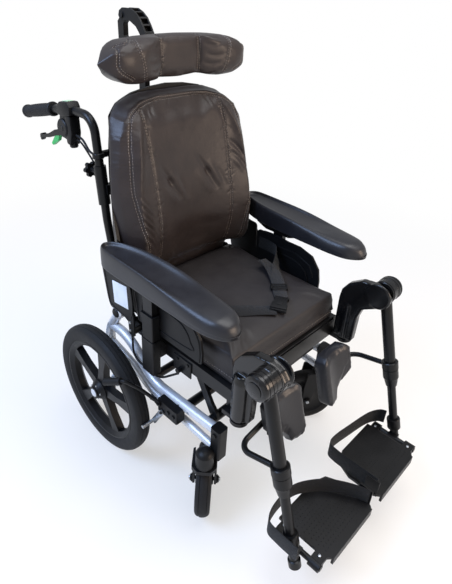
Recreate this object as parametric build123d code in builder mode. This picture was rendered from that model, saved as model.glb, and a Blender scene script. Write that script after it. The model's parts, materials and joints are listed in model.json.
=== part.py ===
from build123d import *
from math import asin, atan2, cos, hypot, radians, sin, tan
import os

# A tilt-in-space wheelchair in millimetres. The origin is on the floor in the middle
# of the footprint. X runs to the seated person's left, Y rearwards and Z up.
# Positions are measured from the rear axle line: (across, behind the axle, height).

# ---------------------------------------------------------------- clearances
running_gap = 0.05        # radial, shafts and pins in their bores
slide_gap = 0.4           # radial, tubes that telescope
seat_gap = 0.3            # pieces that rest on or are clamped to each other
moving_gap = 1.5          # faces that pass each other

# ---------------------------------------------------------------- base frame
rear_axle_y = 160.9       # rear axle behind the middle of the footprint
rear_wheel_dia = 400.0
rear_tyre_width = 44.0
rear_wheel_x = 288.0      # wheel mid-plane from the middle
rim_dia = 316.0
wheel_hub_dia = 62.0
wheel_axle_dia = 16.0
wheel_spokes = 5
frame_x = 225.0           # centre of each side frame
upper_tube_dia = 28.0
lower_tube_dia = 22.0
cross_tube_dia = 25.0
rear_cross_y = -145.0
mid_cross_y = -291.0
front_cross_y = -370.0
frame_bolt_hole_dia = 8.0
frame_bolt_spacing = 36.0
frame_bolt_y = -294.0
tilt_y = -16.0
tilt_z = 453.0
tilt_pin_dia = 16.0

# ---------------------------------------------------------------- castors
castor_dia = 190.0
castor_width = 40.0
castor_trail = 45.0
castor_x = 262.0
castor_y = -401.0
castor_rest_swivel = 48.6  # trail direction, turned inwards from straight back
castor_stem_dia = 15.0
castor_housing_dia = 46.0
castor_housing_bottom_z = 207.0
castor_housing_top_z = 253.0
castor_axle_dia = 10.0
fork_arm_x = 26.0
fork_arm_thickness = 6.0
fork_crown_thickness = 12.0

# ---------------------------------------------------------------- wheel locks
lock_lever_y = -228.0
lock_lever_z = 289.0
lock_shoe_y = -240.0
lock_shoe_z = 266.0
lock_plate_x = 263.5
lock_plate_thickness = 4.0
lock_pin_dia = 10.0
lock_bolt_dia = 8.0

# ---------------------------------------------------------------- seat
rail_inner_x = 205.0
rail_thickness = 12.0
rail_bottom_z = 412.0
rail_top_z = 449.0
seat_front_y = -432.0
hinge_plate_x = 203.0
hinge_plate_thickness = 7.0
cushion_half_width = 212.0
cushion_rear_half_width = 200.0
cushion_rear_y = -27.0
cushion_side_height = 80.0
cushion_crown = 11.0
recline_y = 2.0
recline_z = 500.0
recline_pin_dia = 14.0

# ---------------------------------------------------------------- gas springs
spring_pin_dia = 10.0
spring_body_dia = 26.0
spring_rod_dia = 10.0
spring_eye_dia = 22.0
spring_eye_width = 12.0
open_eye_gap = 4.2        # radial play at the rod eye of each spring
tilt_spring_x = -45.0
tilt_spring_base_y = -178.0
tilt_spring_base_z = 300.0
tilt_spring_seat_y = -330.0
tilt_spring_seat_z = 403.0
tilt_spring_body = 118.0
recline_spring_x = 45.0
recline_spring_seat_y = -330.0
recline_spring_seat_z = 396.0
recline_spring_back_y = -20.0
recline_spring_back_z = 402.0
recline_spring_body = 190.0

# ---------------------------------------------------------------- backrest
shell_front_y = 20.0      # at shell_datum_z, in the middle
shell_datum_z = 531.0
shell_lean = 3.05         # degrees
shell_thickness = 8.0
shell_flat_half = 126.0
shell_wing_radius = 122.0
back_tube_x = 200.0
back_tube_dia = 22.0
back_tube_y = 58.0        # at the sleeve's foot
back_tube_lean = 6.5      # degrees, upper stretch
sleeve_bottom_z = 742.0
sleeve_length = 100.0
sleeve_dia = 31.0
handle_tube_dia = 22.0
handle_top_z = 958.0
handle_end_y = 416.0
grip_dia = 33.0
star_knob_dia = 40.0

# ---------------------------------------------------------------- head support
post_width = 16.0
post_y = 137.0
post_depth = 26.0
head_bolt_y = 206.0
head_bolt_z = 1170.0
head_bolt_dia = 10.0
head_pin_y = 104.0
head_pin_z = 1098.0
head_pin_dia = 8.0
arch_width = 30.0
head_pad_half_width = 237.0
bolster_inner_x = 60.0
head_face_y = -5.0        # face of the pad between its two bolsters

# ---------------------------------------------------------------- arm supports
arm_post_x = 240.0
arm_post_thickness = 18.0
arm_post_front_y = -200.0
arm_post_rear_y = -165.0
arm_plate_z = 622.0
arm_pad_bottom_z = 632.0
arm_pad_rim_z = 688.0

# ---------------------------------------------------------------- leg supports
knee_y = -544.0
knee_z = 575.0
leg_lean = 16.5           # degrees forward of vertical
leg_tube_x = 242.0
leg_tube_dia = 30.0
slider_dia = 23.0
barrel_radius = 31.0
barrel_inner_x = 227.0
barrel_outer_x = 283.0
hanger_pivot_x = 222.0
hanger_pivot_y = -466.0
hanger_pivot_dia = 14.0
leg_tube_end = -257.0     # along the leg from the knee
slider_end = -491.0
footplate_hinge_x = 228.0
footplate_hinge_z = 145.0
footplate_hinge_dia = 14.0
footplate_thickness = 8.0
calf_ring_top = -206.0
calf_ring_bottom = -231.0
calf_pad_thickness = 38.0

SIDES = ((1, "left"), (-1, "right"))

base = Plane(origin=(0, rear_axle_y, 0))
wheel_radius = rear_wheel_dia / 2


def side_plane(datum, x):
    """Drawing X runs rearwards and drawing Y up; the normal points to +X."""
    origin = datum.from_local_coords((x, 0, 0))
    return Plane(origin=origin, x_dir=datum.y_dir, z_dir=datum.x_dir)


def front_plane(datum, y):
    """Drawing X runs across and drawing Y up; the normal points forward."""
    origin = datum.from_local_coords((0, y, 0))
    return Plane(origin=origin, x_dir=datum.x_dir, z_dir=-datum.y_dir)


def level_plane(datum, z):
    """Drawing X runs across and drawing Y rearwards; the normal points up."""
    origin = datum.from_local_coords((0, 0, z))
    return Plane(origin=origin, x_dir=datum.x_dir, z_dir=datum.z_dir)


def sheet(plane, outline, thickness, radius=0.0, mode=Mode.ADD):
    """A closed outline on a plane, with rounded corners, made solid."""
    with BuildSketch(plane) as face:
        with BuildLine():
            Polyline(*outline, close=True)
        make_face()
        if radius > 0:
            fillet(face.vertices(), radius)
    extrude(face.sketch, amount=thickness, mode=mode)


def side_sheet(datum, x, side, outline, thickness, radius=0.0, mode=Mode.ADD):
    """A side view outline, from x outwards on one side."""
    sheet(side_plane(datum, side * x), outline, side * thickness, radius, mode)


def block(datum, x_span, y_span, z_span, radius=0.0, mode=Mode.ADD):
    """A box between two x, two y and two z values, with rounded upright edges."""
    middle = (x_span[0] + x_span[1]) / 2, (y_span[0] + y_span[1]) / 2, z_span[0]
    origin = datum.from_local_coords(middle)
    with BuildSketch(Plane(origin=origin, x_dir=datum.x_dir, z_dir=datum.z_dir)) as face:
        Rectangle(abs(x_span[1] - x_span[0]), abs(y_span[1] - y_span[0]))
        if radius > 0:
            fillet(face.vertices(), radius)
    extrude(face.sketch, amount=z_span[1] - z_span[0], mode=mode)


def bar(datum, start, end, dia, mode=Mode.ADD):
    """A straight round bar between two points."""
    first = datum.from_local_coords(start)
    last = datum.from_local_coords(end)
    with BuildSketch(Plane(origin=first, z_dir=last - first)) as section:
        Circle(dia / 2)
    extrude(section.sketch, amount=(last - first).length, mode=mode)


def bent_tube(datum, points, radii, dia, mode=Mode.ADD):
    """A round tube along straight runs with rounded corners."""
    corners = [datum.from_local_coords(point) for point in points]
    with BuildLine() as route:
        FilletPolyline(*corners, radius=radii)
    with BuildSketch(Plane(origin=route.line @ 0, z_dir=route.line % 0)) as section:
        Circle(dia / 2)
    sweep(section.sketch, path=route.line, mode=mode)


def strap(datum, points, radii, z_span, thickness):
    """A flat band standing on edge along a route seen from above."""
    middle = (z_span[0] + z_span[1]) / 2
    corners = [datum.from_local_coords((x, y, middle)) for x, y in points]
    with BuildLine() as route:
        FilletPolyline(*corners, radius=radii)
    start = Plane(origin=route.line @ 0, x_dir=datum.z_dir, z_dir=route.line % 0)
    with BuildSketch(start) as section:
        Rectangle(z_span[1] - z_span[0], thickness)
    sweep(section.sketch, path=route.line)


def turned(datum, start, direction, profile, mode=Mode.ADD):
    """A turned body; the profile points are (distance along the axis, radius)."""
    origin = datum.from_local_coords(start)
    along = datum.from_local_coords(direction) - datum.origin
    across = datum.z_dir if abs(direction[0]) > 0.5 else datum.x_dir
    with BuildSketch(Plane(origin=origin, x_dir=along, z_dir=across)) as half:
        with BuildLine():
            Polyline(*profile, close=True)
        make_face()
    revolve(half.sketch, axis=Axis(origin, along), mode=mode)


def mirrored_outline(half):
    """A closed outline from its right-hand half, listed from the top down."""
    return half + [(-x, y) for x, y in reversed(half) if abs(x) > 0.01]


def save(part, label):
    part.label = label
    export_step(part, f"parts/{label}.step")


os.makedirs("parts", exist_ok=True)

# ================================================================ base frame
upper_route = [(-395, 303), (-153, 292), (-57, 387), (28, 387)]
lower_route = [(-395, 238), (-150, 255), (-60, 300), (38, 323)]
upright_route = [(0, wheel_radius), (48, 350), (tilt_y, tilt_z)]


def side_route(route, side):
    return [(side * frame_x, y, z) for y, z in route]


def upper_z(y):
    """Height of the upper tube's centre line on its front stretch."""
    (y0, z0), (y1, z1) = upper_route[0], upper_route[1]
    return z0 + (z1 - z0) * (y - y0) / (y1 - y0)


upper_radii = 118
lug_inner_x = hinge_plate_x + hinge_plate_thickness + moving_gap
axle_end_x = rear_wheel_x + 30.5
for side, name in SIDES:
    with BuildPart() as side_frame:
        bent_tube(base, side_route(upper_route, side), upper_radii, upper_tube_dia)
        bent_tube(base, side_route(lower_route, side), 130, lower_tube_dia)
        bent_tube(base, side_route(upright_route, side), 90, upper_tube_dia)
        side_sheet(base, frame_x - 3, side,
                   [(-46, 309), (34, 326), (22, 262), (16, 200), (0, 186), (-14, 196),
                    (-20, 262)], 6, 5)
        turned(base, (side * 211, 0, wheel_radius), (side, 0, 0),
               [(0, 0), (0, 17), (3, 20), (36, 20), (39, 17), (39, wheel_axle_dia / 2),
                (axle_end_x - 211, wheel_axle_dia / 2), (axle_end_x - 211, 13),
                (axle_end_x - 207, 13), (axle_end_x - 205, 10), (axle_end_x - 205, 0)])
        turned(base, (side * lug_inner_x, tilt_y, tilt_z), (side, 0, 0),
               [(0, 0), (0, 20), (24, 20), (27, 16), (27, 0)])
        bar(base, (side * (hinge_plate_x - 1.5), tilt_y, tilt_z),
            (side * lug_inner_x, tilt_y, tilt_z), tilt_pin_dia)
        for hole_y in (frame_bolt_y - frame_bolt_spacing / 2,
                       frame_bolt_y + frame_bolt_spacing / 2):
            bar(base, (side * (frame_x - 20), hole_y, upper_z(frame_bolt_y)),
                (side * (frame_x + 20), hole_y, upper_z(frame_bolt_y)),
                frame_bolt_hole_dia, Mode.SUBTRACT)
        for hole_y, hole_z in ((-14, 300), (4, 304), (-2, 270)):
            bar(base, (side * (frame_x - 8), hole_y, hole_z),
                (side * (frame_x + 8), hole_y, hole_z), 7, Mode.SUBTRACT)
    save(side_frame.part, f"side_frame_{name}")

cross_ends = frame_x - 6
cross_heights = {rear_cross_y: 294.0,
                 mid_cross_y: upper_z(mid_cross_y),
                 front_cross_y: upper_z(front_cross_y)}
with BuildPart() as cross_tubes:
    for cross_y, cross_z in cross_heights.items():
        bar(base, (-cross_ends, cross_y, cross_z), (cross_ends, cross_y, cross_z),
            cross_tube_dia)
    for ear in (-spring_eye_width / 2 - 5.5, spring_eye_width / 2 + 1.5):
        sheet(side_plane(base, tilt_spring_x + ear),
              [(rear_cross_y - 2, 283), (rear_cross_y - 2, 305), (-178, 311),
               (-189, 300), (-178, 289)], 4, 4)
    bar(base, (tilt_spring_x - 12, tilt_spring_base_y, tilt_spring_base_z),
        (tilt_spring_x + 12, tilt_spring_base_y, tilt_spring_base_z), spring_pin_dia)
    for side, name in SIDES:
        bent_tube(base, side_route(upper_route, side), upper_radii,
                  upper_tube_dia + 2 * seat_gap, Mode.SUBTRACT)
save(cross_tubes.part, "cross_tubes")

housing_block_rear = upper_route[0][0] - seat_gap - 0.7
with BuildPart() as castor_housings:
    for side, name in SIDES:
        block(base, (side * 211, side * 243), (-428, housing_block_rear), (224, 321), 6)
        turned(base, (side * castor_x, castor_y, castor_housing_bottom_z), (0, 0, 1),
               [(0, 0), (0, 21), (3, castor_housing_dia / 2),
                (castor_housing_top_z - castor_housing_bottom_z - 4,
                 castor_housing_dia / 2),
                (castor_housing_top_z - castor_housing_bottom_z + 3, 18),
                (castor_housing_top_z - castor_housing_bottom_z + 8, 9),
                (castor_housing_top_z - castor_housing_bottom_z + 9, 0)])
        block(base, (side * 236, side * castor_x), (-417, castor_y + 5), (226, 250))
        bar(base, (side * castor_x, castor_y, castor_housing_bottom_z - 1),
            (side * castor_x, castor_y, castor_housing_bottom_z + 36),
            castor_stem_dia + 2 * running_gap, Mode.SUBTRACT)
        for bolt_z in (238, 303):
            bar(base, (side * 242, -411, bolt_z), (side * 246.5, -411, bolt_z), 13)
save(castor_housings.part, "castor_housings")

with BuildPart() as lock_blocks:
    for side, name in SIDES:
        block(base, (side * 232, side * 262), (-295, -219), (259, 299), 4)
        bent_tube(base, side_route(upper_route, side), upper_radii,
                  upper_tube_dia + 2 * seat_gap, Mode.SUBTRACT)
        for bolt_y, bolt_z in ((lock_lever_y, lock_lever_z), (lock_shoe_y, lock_shoe_z)):
            bar(base, (side * 261, bolt_y, bolt_z),
                (side * (lock_plate_x + lock_plate_thickness + 3), bolt_y, bolt_z),
                lock_bolt_dia)
        for bolt_y in (-282, -262):
            bar(base, (side * 261, bolt_y, 278), (side * 265.5, bolt_y, 278), 11)
save(lock_blocks.part, "lock_blocks")

# ================================================================ rear wheels
for side, name in SIDES:
    centre = (side * rear_wheel_x, 0, wheel_radius)
    rim_radius = rim_dia / 2
    with BuildPart() as rear_wheel:
        turned(base, centre, (side, 0, 0),
               [(-18, rim_radius), (-18, rim_radius - 9), (-10, rim_radius - 19),
                (10, rim_radius - 19), (18, rim_radius - 9), (18, rim_radius)])
        turned(base, centre, (side, 0, 0),
               [(-26, 0), (-26, 24), (-13, wheel_hub_dia / 2), (15, wheel_hub_dia / 2),
                (24, 24), (30, 19), (30, 0)])
        for spoke in range(wheel_spokes):
            angle = radians(9 + spoke * 360 / wheel_spokes)
            forward, up = -cos(angle), sin(angle)
            corners = []
            for reach, half in ((27, -15), (86, -12), (rim_radius - 15, -19),
                                (rim_radius - 15, 19), (86, 12), (27, 15)):
                corners.append((forward * reach - up * half,
                                wheel_radius + up * reach + forward * half))
            side_sheet(base, rear_wheel_x - 11, side, corners, 22)
        bar(base, (side * (rear_wheel_x - 30), 0, wheel_radius),
            (side * (rear_wheel_x + 34), 0, wheel_radius),
            wheel_axle_dia + 2 * running_gap, Mode.SUBTRACT)
    save(rear_wheel.part, f"rear_wheel_{name}")

    half_tyre = rear_tyre_width / 2
    with BuildPart() as rear_tyre:
        turned(base, centre, (side, 0, 0),
               [(-18, rim_radius + running_gap), (-half_tyre, rim_radius + 14),
                (-half_tyre, wheel_radius - 14), (-half_tyre + 4, wheel_radius - 6),
                (-half_tyre + 11, wheel_radius - 1.5), (-4, wheel_radius),
                (4, wheel_radius), (half_tyre - 11, wheel_radius - 1.5),
                (half_tyre - 4, wheel_radius - 6), (half_tyre, wheel_radius - 14),
                (half_tyre, rim_radius + 14), (18, rim_radius + running_gap)])
    save(rear_tyre.part, f"rear_tyre_{name}")

# ================================================================ castors
for side, name in SIDES:
    swivel = radians(castor_rest_swivel)
    castor = Plane(origin=base.from_local_coords((side * castor_x, castor_y, 0)),
                   x_dir=(cos(swivel), side * sin(swivel), 0), z_dir=(0, 0, 1))
    castor_radius = castor_dia / 2
    crown_top = castor_housing_bottom_z - moving_gap
    crown_bottom = crown_top - fork_crown_thickness
    fork_outer_x = fork_arm_x + fork_arm_thickness
    with BuildPart() as castor_fork:
        sheet(level_plane(castor, crown_bottom),
              [(-fork_outer_x, 52), (-fork_outer_x, -6), (-18, -22), (18, -22),
               (fork_outer_x, -6), (fork_outer_x, 52)], fork_crown_thickness, 6)
        block(castor, (-fork_arm_x, fork_arm_x), (26, 60), (crown_bottom - 1, crown_top + 1),
              4, Mode.SUBTRACT)
        bar(castor, (0, 0, crown_top - 1), (0, 0, castor_housing_bottom_z + 34),
            castor_stem_dia)
        for arm_x in (-fork_outer_x, fork_arm_x):
            sheet(side_plane(castor, arm_x),
                  [(4, crown_top - 2), (54, crown_top - 2), (60, 150), (60, 88),
                   (castor_trail + 4, 80), (castor_trail - 12, 86), (28, 140)],
                  fork_arm_thickness, 6)
        bar(castor, (-40, castor_trail, castor_radius), (40, castor_trail, castor_radius),
            castor_axle_dia)
        for bolt_x in (-39, 35):
            bar(castor, (bolt_x, castor_trail, castor_radius),
                (bolt_x + 4, castor_trail, castor_radius), 17)
        for washer_x in (-36, 31):
            bar(castor, (washer_x, castor_trail, castor_radius),
                (washer_x + 5, castor_trail, castor_radius), 22)
    save(castor_fork.part, f"castor_fork_{name}")

    with BuildPart() as castor_wheel:
        turned(castor, (0, castor_trail, castor_radius), (1, 0, 0),
               [(-24, 0), (-24, 15), (-12, 20), (-9, 60), (-16, 66),
                (-castor_width / 2, 72), (-castor_width / 2, castor_radius - 9),
                (-15, castor_radius - 3), (-6, castor_radius), (6, castor_radius),
                (15, castor_radius - 3), (castor_width / 2, castor_radius - 9),
                (castor_width / 2, 72), (16, 66), (9, 60), (12, 20), (24, 15), (24, 0)])
        bar(castor, (-30, castor_trail, castor_radius), (30, castor_trail, castor_radius),
            castor_axle_dia + 2 * running_gap, Mode.SUBTRACT)
    save(castor_wheel.part, f"castor_wheel_{name}")

# ================================================================ wheel locks
lock_reach = wheel_radius + lock_pin_dia / 2 + seat_gap
lock_pin_z = wheel_radius + 11.0
lock_pin_y = -(lock_reach ** 2 - 11.0 ** 2) ** 0.5
for side, name in SIDES:
    bolt_hole = lock_bolt_dia + 2 * running_gap
    plate_out = lock_plate_x + lock_plate_thickness
    with BuildPart() as lock_lever:
        side_sheet(base, lock_plate_x, side,
                   [(lock_lever_y - 9, lock_lever_z - 3), (lock_lever_y, lock_lever_z - 8),
                    (-200, 288), (-195, 302), (lock_lever_y - 4, lock_lever_z + 9)],
                   lock_plate_thickness, 3)
        bent_tube(base, [(side * (plate_out - 1), -212, 294), (side * 290, -184, 325),
                         (side * 318, -157, 352), (side * 340, -105, 328)],
                  [8, 16], 10)
        bar(base, (side * (plate_out - 4), -214, 291), (side * (plate_out + 4), -205, 299), 12)
        bar(base, (side * lock_plate_x, lock_lever_y, lock_lever_z),
            (side * (plate_out + 1), lock_lever_y, lock_lever_z), bolt_hole, Mode.SUBTRACT)
        bar(base, (side * (lock_plate_x - 1), lock_lever_y, lock_lever_z),
            (side * (plate_out + 4), lock_lever_y, lock_lever_z), bolt_hole, Mode.SUBTRACT)
        bar(base, (side * 322.4, -146.6, 347.2), (side * 342, -100, 325.7), 20)
    save(lock_lever.part, f"lock_lever_{name}")

    with BuildPart() as lock_shoe:
        side_sheet(base, lock_plate_x, side,
                   [(lock_shoe_y - 9, lock_shoe_z + 1), (lock_shoe_y, lock_shoe_z + 9),
                    (lock_shoe_y + 9, lock_shoe_z + 2), (lock_pin_y + 3, lock_pin_z + 5),
                    (lock_pin_y + 5, lock_pin_z - 6), (lock_pin_y - 8, lock_pin_z - 7)],
                   lock_plate_thickness, 3)
        bar(base, (side * (lock_plate_x - 2), lock_pin_y, lock_pin_z),
            (side * 303, lock_pin_y, lock_pin_z), lock_pin_dia)
        bar(base, (side * (lock_plate_x - 1), lock_shoe_y, lock_shoe_z),
            (side * (plate_out + 1), lock_shoe_y, lock_shoe_z), bolt_hole, Mode.SUBTRACT)
    save(lock_shoe.part, f"lock_shoe_{name}")

# ================================================================ seat frame
rail_outer_x = rail_inner_x + rail_thickness
foot_z = cross_heights[front_cross_y]
with BuildPart() as seat_frame:
    for side, name in SIDES:
        block(base, (side * rail_inner_x, side * rail_outer_x), (seat_front_y, -60),
              (rail_bottom_z, rail_top_z))
        side_sheet(base, hinge_plate_x, side,
                   [(-120, 414), (-40, 414), (-4, 430), (12, 452), (18, 488), (16, 512),
                    (-8, 514), (-20, 492), (-40, 478), (-58, rail_top_z), (-120, rail_top_z)],
                   hinge_plate_thickness, 7)
        bar(base, (side * (hinge_plate_x - 1), tilt_y, tilt_z),
            (side * (hinge_plate_x + hinge_plate_thickness + 1), tilt_y, tilt_z),
            tilt_pin_dia + 2 * running_gap, Mode.SUBTRACT)
        bar(base, (side * 190, recline_y, recline_z),
            (side * (hinge_plate_x + 1), recline_y, recline_z), recline_pin_dia)
        # screw plate on the outside of the rail
        block(base, (side * rail_outer_x, side * (rail_outer_x + 3)), (-300, -236), (394, 440))
        for screw_y in (-288, -250):
            bar(base, (side * (rail_outer_x + 2), screw_y, 430),
                (side * (rail_outer_x + 6), screw_y, 430), 9)
        bar(base, (side * (rail_outer_x + 2), -262, 403), (side * 232, -262, 403), 14)
        # strut down to the front cross tube, with its saddle
        side_sheet(base, 195, side,
                   [(-300, 402), (-262, 402), (-262, 414), (-318, 414), (-360, 345),
                    (front_cross_y - 8, foot_z + 22), (front_cross_y - 14, foot_z + 4),
                    (front_cross_y + 14, foot_z + 6), (-340, 336)], 9, 2)
        block(base, (side * 195, side * 206), (-318, -262), (408, rail_top_z))
        bar(base, (side * 190, front_cross_y, foot_z), (side * 210, front_cross_y, foot_z),
            cross_tube_dia + 2 * seat_gap, Mode.SUBTRACT)
        # ear and pin for the swing-away leg support
        block(base, (side * rail_inner_x, side * rail_outer_x), (seat_front_y, seat_front_y + 12),
              (383, rail_top_z - 4))
        turned(base, (side * hanger_pivot_x, hanger_pivot_y, 383), (0, 0, 1),
               [(0, 0), (0, 20), (2, 22), (12, 22), (12, hanger_pivot_dia / 2),
                (86, hanger_pivot_dia / 2), (88, 5), (88, 0)])
        block(base, (side * 205, side * 232), (-462, seat_front_y + 12), (383, 395))
    block(base, (-rail_outer_x, rail_outer_x), (seat_front_y, seat_front_y + 14),
          (388, rail_top_z - 8), 3)
    block(base, (-rail_inner_x - 1, rail_inner_x + 1), (seat_front_y + 2, -62),
          (rail_top_z - 6, rail_top_z))
    block(base, (-186, 186), (-64, -30), (rail_top_z - 6, rail_top_z))
    block(base, (-rail_inner_x - 1, rail_inner_x + 1), (-346, -314), (418, rail_top_z - 5))
    block(base, (-rail_inner_x - 1, rail_inner_x + 1), (-112, -92), (430, rail_top_z - 5))
    for spring_x, pin_y, pin_z in (
            (tilt_spring_x, tilt_spring_seat_y, tilt_spring_seat_z),
            (recline_spring_x, recline_spring_seat_y, recline_spring_seat_z)):
        for ear in (-spring_eye_width / 2 - 5.5, spring_eye_width / 2 + 1.5):
            sheet(side_plane(base, spring_x + ear),
                  [(pin_y - 14, 424), (pin_y - 11, pin_z - 4), (pin_y - 5, pin_z - 11),
                   (pin_y + 5, pin_z - 11), (pin_y + 11, pin_z - 4), (pin_y + 14, 424)], 4, 3)
        bar(base, (spring_x - 12, pin_y, pin_z), (spring_x + 12, pin_y, pin_z),
            spring_pin_dia)
save(seat_frame.part, "seat_frame")

# ================================================================ seat cushion
cushion_bottom = rail_top_z + seat_gap
cushion_top = cushion_bottom + cushion_side_height
with BuildPart() as seat_cushion:
    sheet(level_plane(base, cushion_bottom),
          [(-cushion_half_width, seat_front_y - 1), (cushion_half_width, seat_front_y - 1),
           (cushion_half_width, -64), (cushion_rear_half_width, -58),
           (cushion_rear_half_width, cushion_rear_y), (-cushion_rear_half_width, cushion_rear_y),
           (-cushion_rear_half_width, -58), (-cushion_half_width, -64)],
          cushion_side_height + 20, 5)
    with BuildSketch(front_plane(base, 0)) as crown_face:
        with BuildLine():
            crown = ThreePointArc((-cushion_half_width + 5, cushion_top),
                                  (0, cushion_top + cushion_crown),
                                  (cushion_half_width - 5, cushion_top))
            edge = ThreePointArc(crown @ 1, (cushion_half_width + 1, cushion_top - 35),
                                 (cushion_half_width - 7, cushion_bottom))
            floor_line = Line(edge @ 1, (-cushion_half_width + 7, cushion_bottom))
            ThreePointArc(floor_line @ 1, (-cushion_half_width - 1, cushion_top - 35),
                          crown @ 0)
        make_face()
        fillet(crown_face.vertices(), 7)
    extrude(crown_face.sketch, amount=500, mode=Mode.INTERSECT)
    with BuildSketch(side_plane(base, -250)) as side_face:
        with BuildLine():
            front = ThreePointArc((seat_front_y + 6, cushion_bottom),
                                  (seat_front_y - 1, cushion_bottom + 42),
                                  (seat_front_y + 6, cushion_top - 2))
            top = ThreePointArc(front @ 1, (-230, cushion_top + cushion_crown),
                                (cushion_rear_y - 4, cushion_top + 4))
            back = ThreePointArc(top @ 1, (cushion_rear_y, cushion_top - 40),
                                 (cushion_rear_y - 4, cushion_bottom))
            Line(back @ 1, front @ 0)
        make_face()
        fillet(side_face.vertices(), 9)
    extrude(side_face.sketch, amount=500, mode=Mode.INTERSECT)
save(seat_cushion.part, "seat_cushion")

# ================================================================ lap belt
panel_inner_x = 229.0
belt_x = panel_inner_x - 2.5 - seat_gap - 1.5
belt_z = cushion_top + cushion_crown + 1
buckle_turn = atan2(33, 45)
buckle = Plane(origin=base.from_local_coords((37.5, -368.5, 0)),
               x_dir=(cos(buckle_turn), sin(buckle_turn), 0), z_dir=(0, 0, 1))
with BuildPart() as lap_belt:
    strap(base, [(-belt_x, -122), (-belt_x, -206), (-150, -300), (15, -385)], [60, 120],
          (belt_z, belt_z + 38), 3)
    strap(base, [(belt_x, -122), (belt_x, -186), (165, -276), (60, -352)], [55, 110],
          (belt_z, belt_z + 38), 3)
    block(buckle, (-30, 30), (-7, 7), (belt_z + 1, belt_z + 37), 5)
save(lap_belt.part, "lap_belt")

# ================================================================ side panels
receiver_inner_x = panel_inner_x + 7
with BuildPart() as side_panels:
    for side, name in SIDES:
        side_sheet(base, panel_inner_x, side,
                   [(-112, 482), (-112, 597), (-272, 598), (-318, 585), (-345, 552),
                    (-352, 515), (-352, 482)], 6.7, 9)
        side_sheet(base, panel_inner_x - 2.5, side,
                   [(-120, 562), (-262, 570), (-310, 552), (-328, 522), (-333, 522),
                    (-314, 556), (-262, 575), (-120, 567)], 3)
        side_sheet(base, 240, side,
                   [(-108, 474), (-4, 474), (6, 500), (24, 596), (18, 612), (-96, 606)],
                   6, 12)
        bar(base, (side * (rail_outer_x + seat_gap), -96, 436), (side * 243, -96, 436), 18)
        side_sheet(base, 240, side, [(-107, 426), (-86, 426), (-80, 490), (-107, 490)], 6, 4)
save(side_panels.part, "side_panels")

# ================================================================ arm supports
receiver_outer_x = arm_post_x + arm_post_thickness + 4
post_span = (arm_post_front_y, arm_post_rear_y)
with BuildPart() as arm_receivers:
    for side, name in SIDES:
        block(base, (side * receiver_inner_x, side * receiver_outer_x),
              (arm_post_front_y - 5, arm_post_rear_y + 6), (365, 470), 3)
        block(base, (side * receiver_inner_x, side * (receiver_outer_x - 1.5)),
              (arm_post_front_y - 3, arm_post_rear_y + 3), (468, 532), 3)
        block(base, (side * receiver_inner_x, side * receiver_outer_x),
              (arm_post_front_y - 5, arm_post_rear_y + 6), (530, 547), 3)
        block(base, (side * (rail_outer_x + seat_gap), side * (receiver_inner_x + 1)),
              (arm_post_front_y - 5, arm_post_rear_y + 6), (414, 446))
        block(base, (side * (arm_post_x - slide_gap),
                     side * (arm_post_x + arm_post_thickness + slide_gap)),
              (arm_post_front_y - slide_gap, arm_post_rear_y + slide_gap), (371, 560),
              0, Mode.SUBTRACT)
save(arm_receivers.part, "arm_receivers")

for side, name in SIDES:
    with BuildPart() as arm_post:
        block(base, (side * arm_post_x, side * (arm_post_x + arm_post_thickness)),
              post_span, (400, arm_plate_z + 2))
        side_sheet(base, 232, side,
                   [(-262, arm_plate_z), (-225, arm_plate_z - 14), (-140, arm_plate_z - 14),
                    (-104, arm_plate_z), (-104, arm_pad_bottom_z - seat_gap),
                    (-262, arm_pad_bottom_z - seat_gap)], 32, 3)
    save(arm_post.part, f"arm_post_{name}")

    with BuildPart() as arm_pad:
        sheet(level_plane(base, arm_pad_bottom_z),
              [(side * 292, -60), (side * 283, -26), (side * 262, -24), (side * 249, -44),
               (side * 247, -74), (side * 210, -132), (side * 201, -380), (side * 214, -440),
               (side * 250, -466), (side * 280, -446), (side * 293, -390)],
              80, 10)
        with BuildSketch(side_plane(base, -320)) as arm_side:
            with BuildLine():
                rim = Spline((-22, arm_pad_rim_z - 3), (-60, arm_pad_rim_z + 1),
                             (-200, arm_pad_rim_z - 2), (-330, arm_pad_rim_z - 10),
                             (-420, arm_pad_rim_z - 14), (-468, arm_pad_bottom_z + 20))
                Polyline(rim @ 1, (-468, arm_pad_bottom_z), (-22, arm_pad_bottom_z), rim @ 0)
            make_face()
        extrude(arm_side.sketch, amount=640, mode=Mode.INTERSECT)
        # hollow for the forearm
        with BuildLine() as hollow_route:
            Spline(base.from_local_coords((side * 258, -52, arm_pad_rim_z + 48)),
                   base.from_local_coords((side * 252, -200, arm_pad_rim_z + 46)),
                   base.from_local_coords((side * 247, -330, arm_pad_rim_z + 44)),
                   base.from_local_coords((side * 247, -450, arm_pad_rim_z + 52)))
        hollow_start = Plane(origin=hollow_route.line @ 0, z_dir=hollow_route.line % 0)
        with BuildSketch(hollow_start) as hollow_section:
            Circle(58)
        sweep(hollow_section.sketch, path=hollow_route.line, mode=Mode.SUBTRACT)
    save(arm_pad.part, f"arm_pad_{name}")

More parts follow.
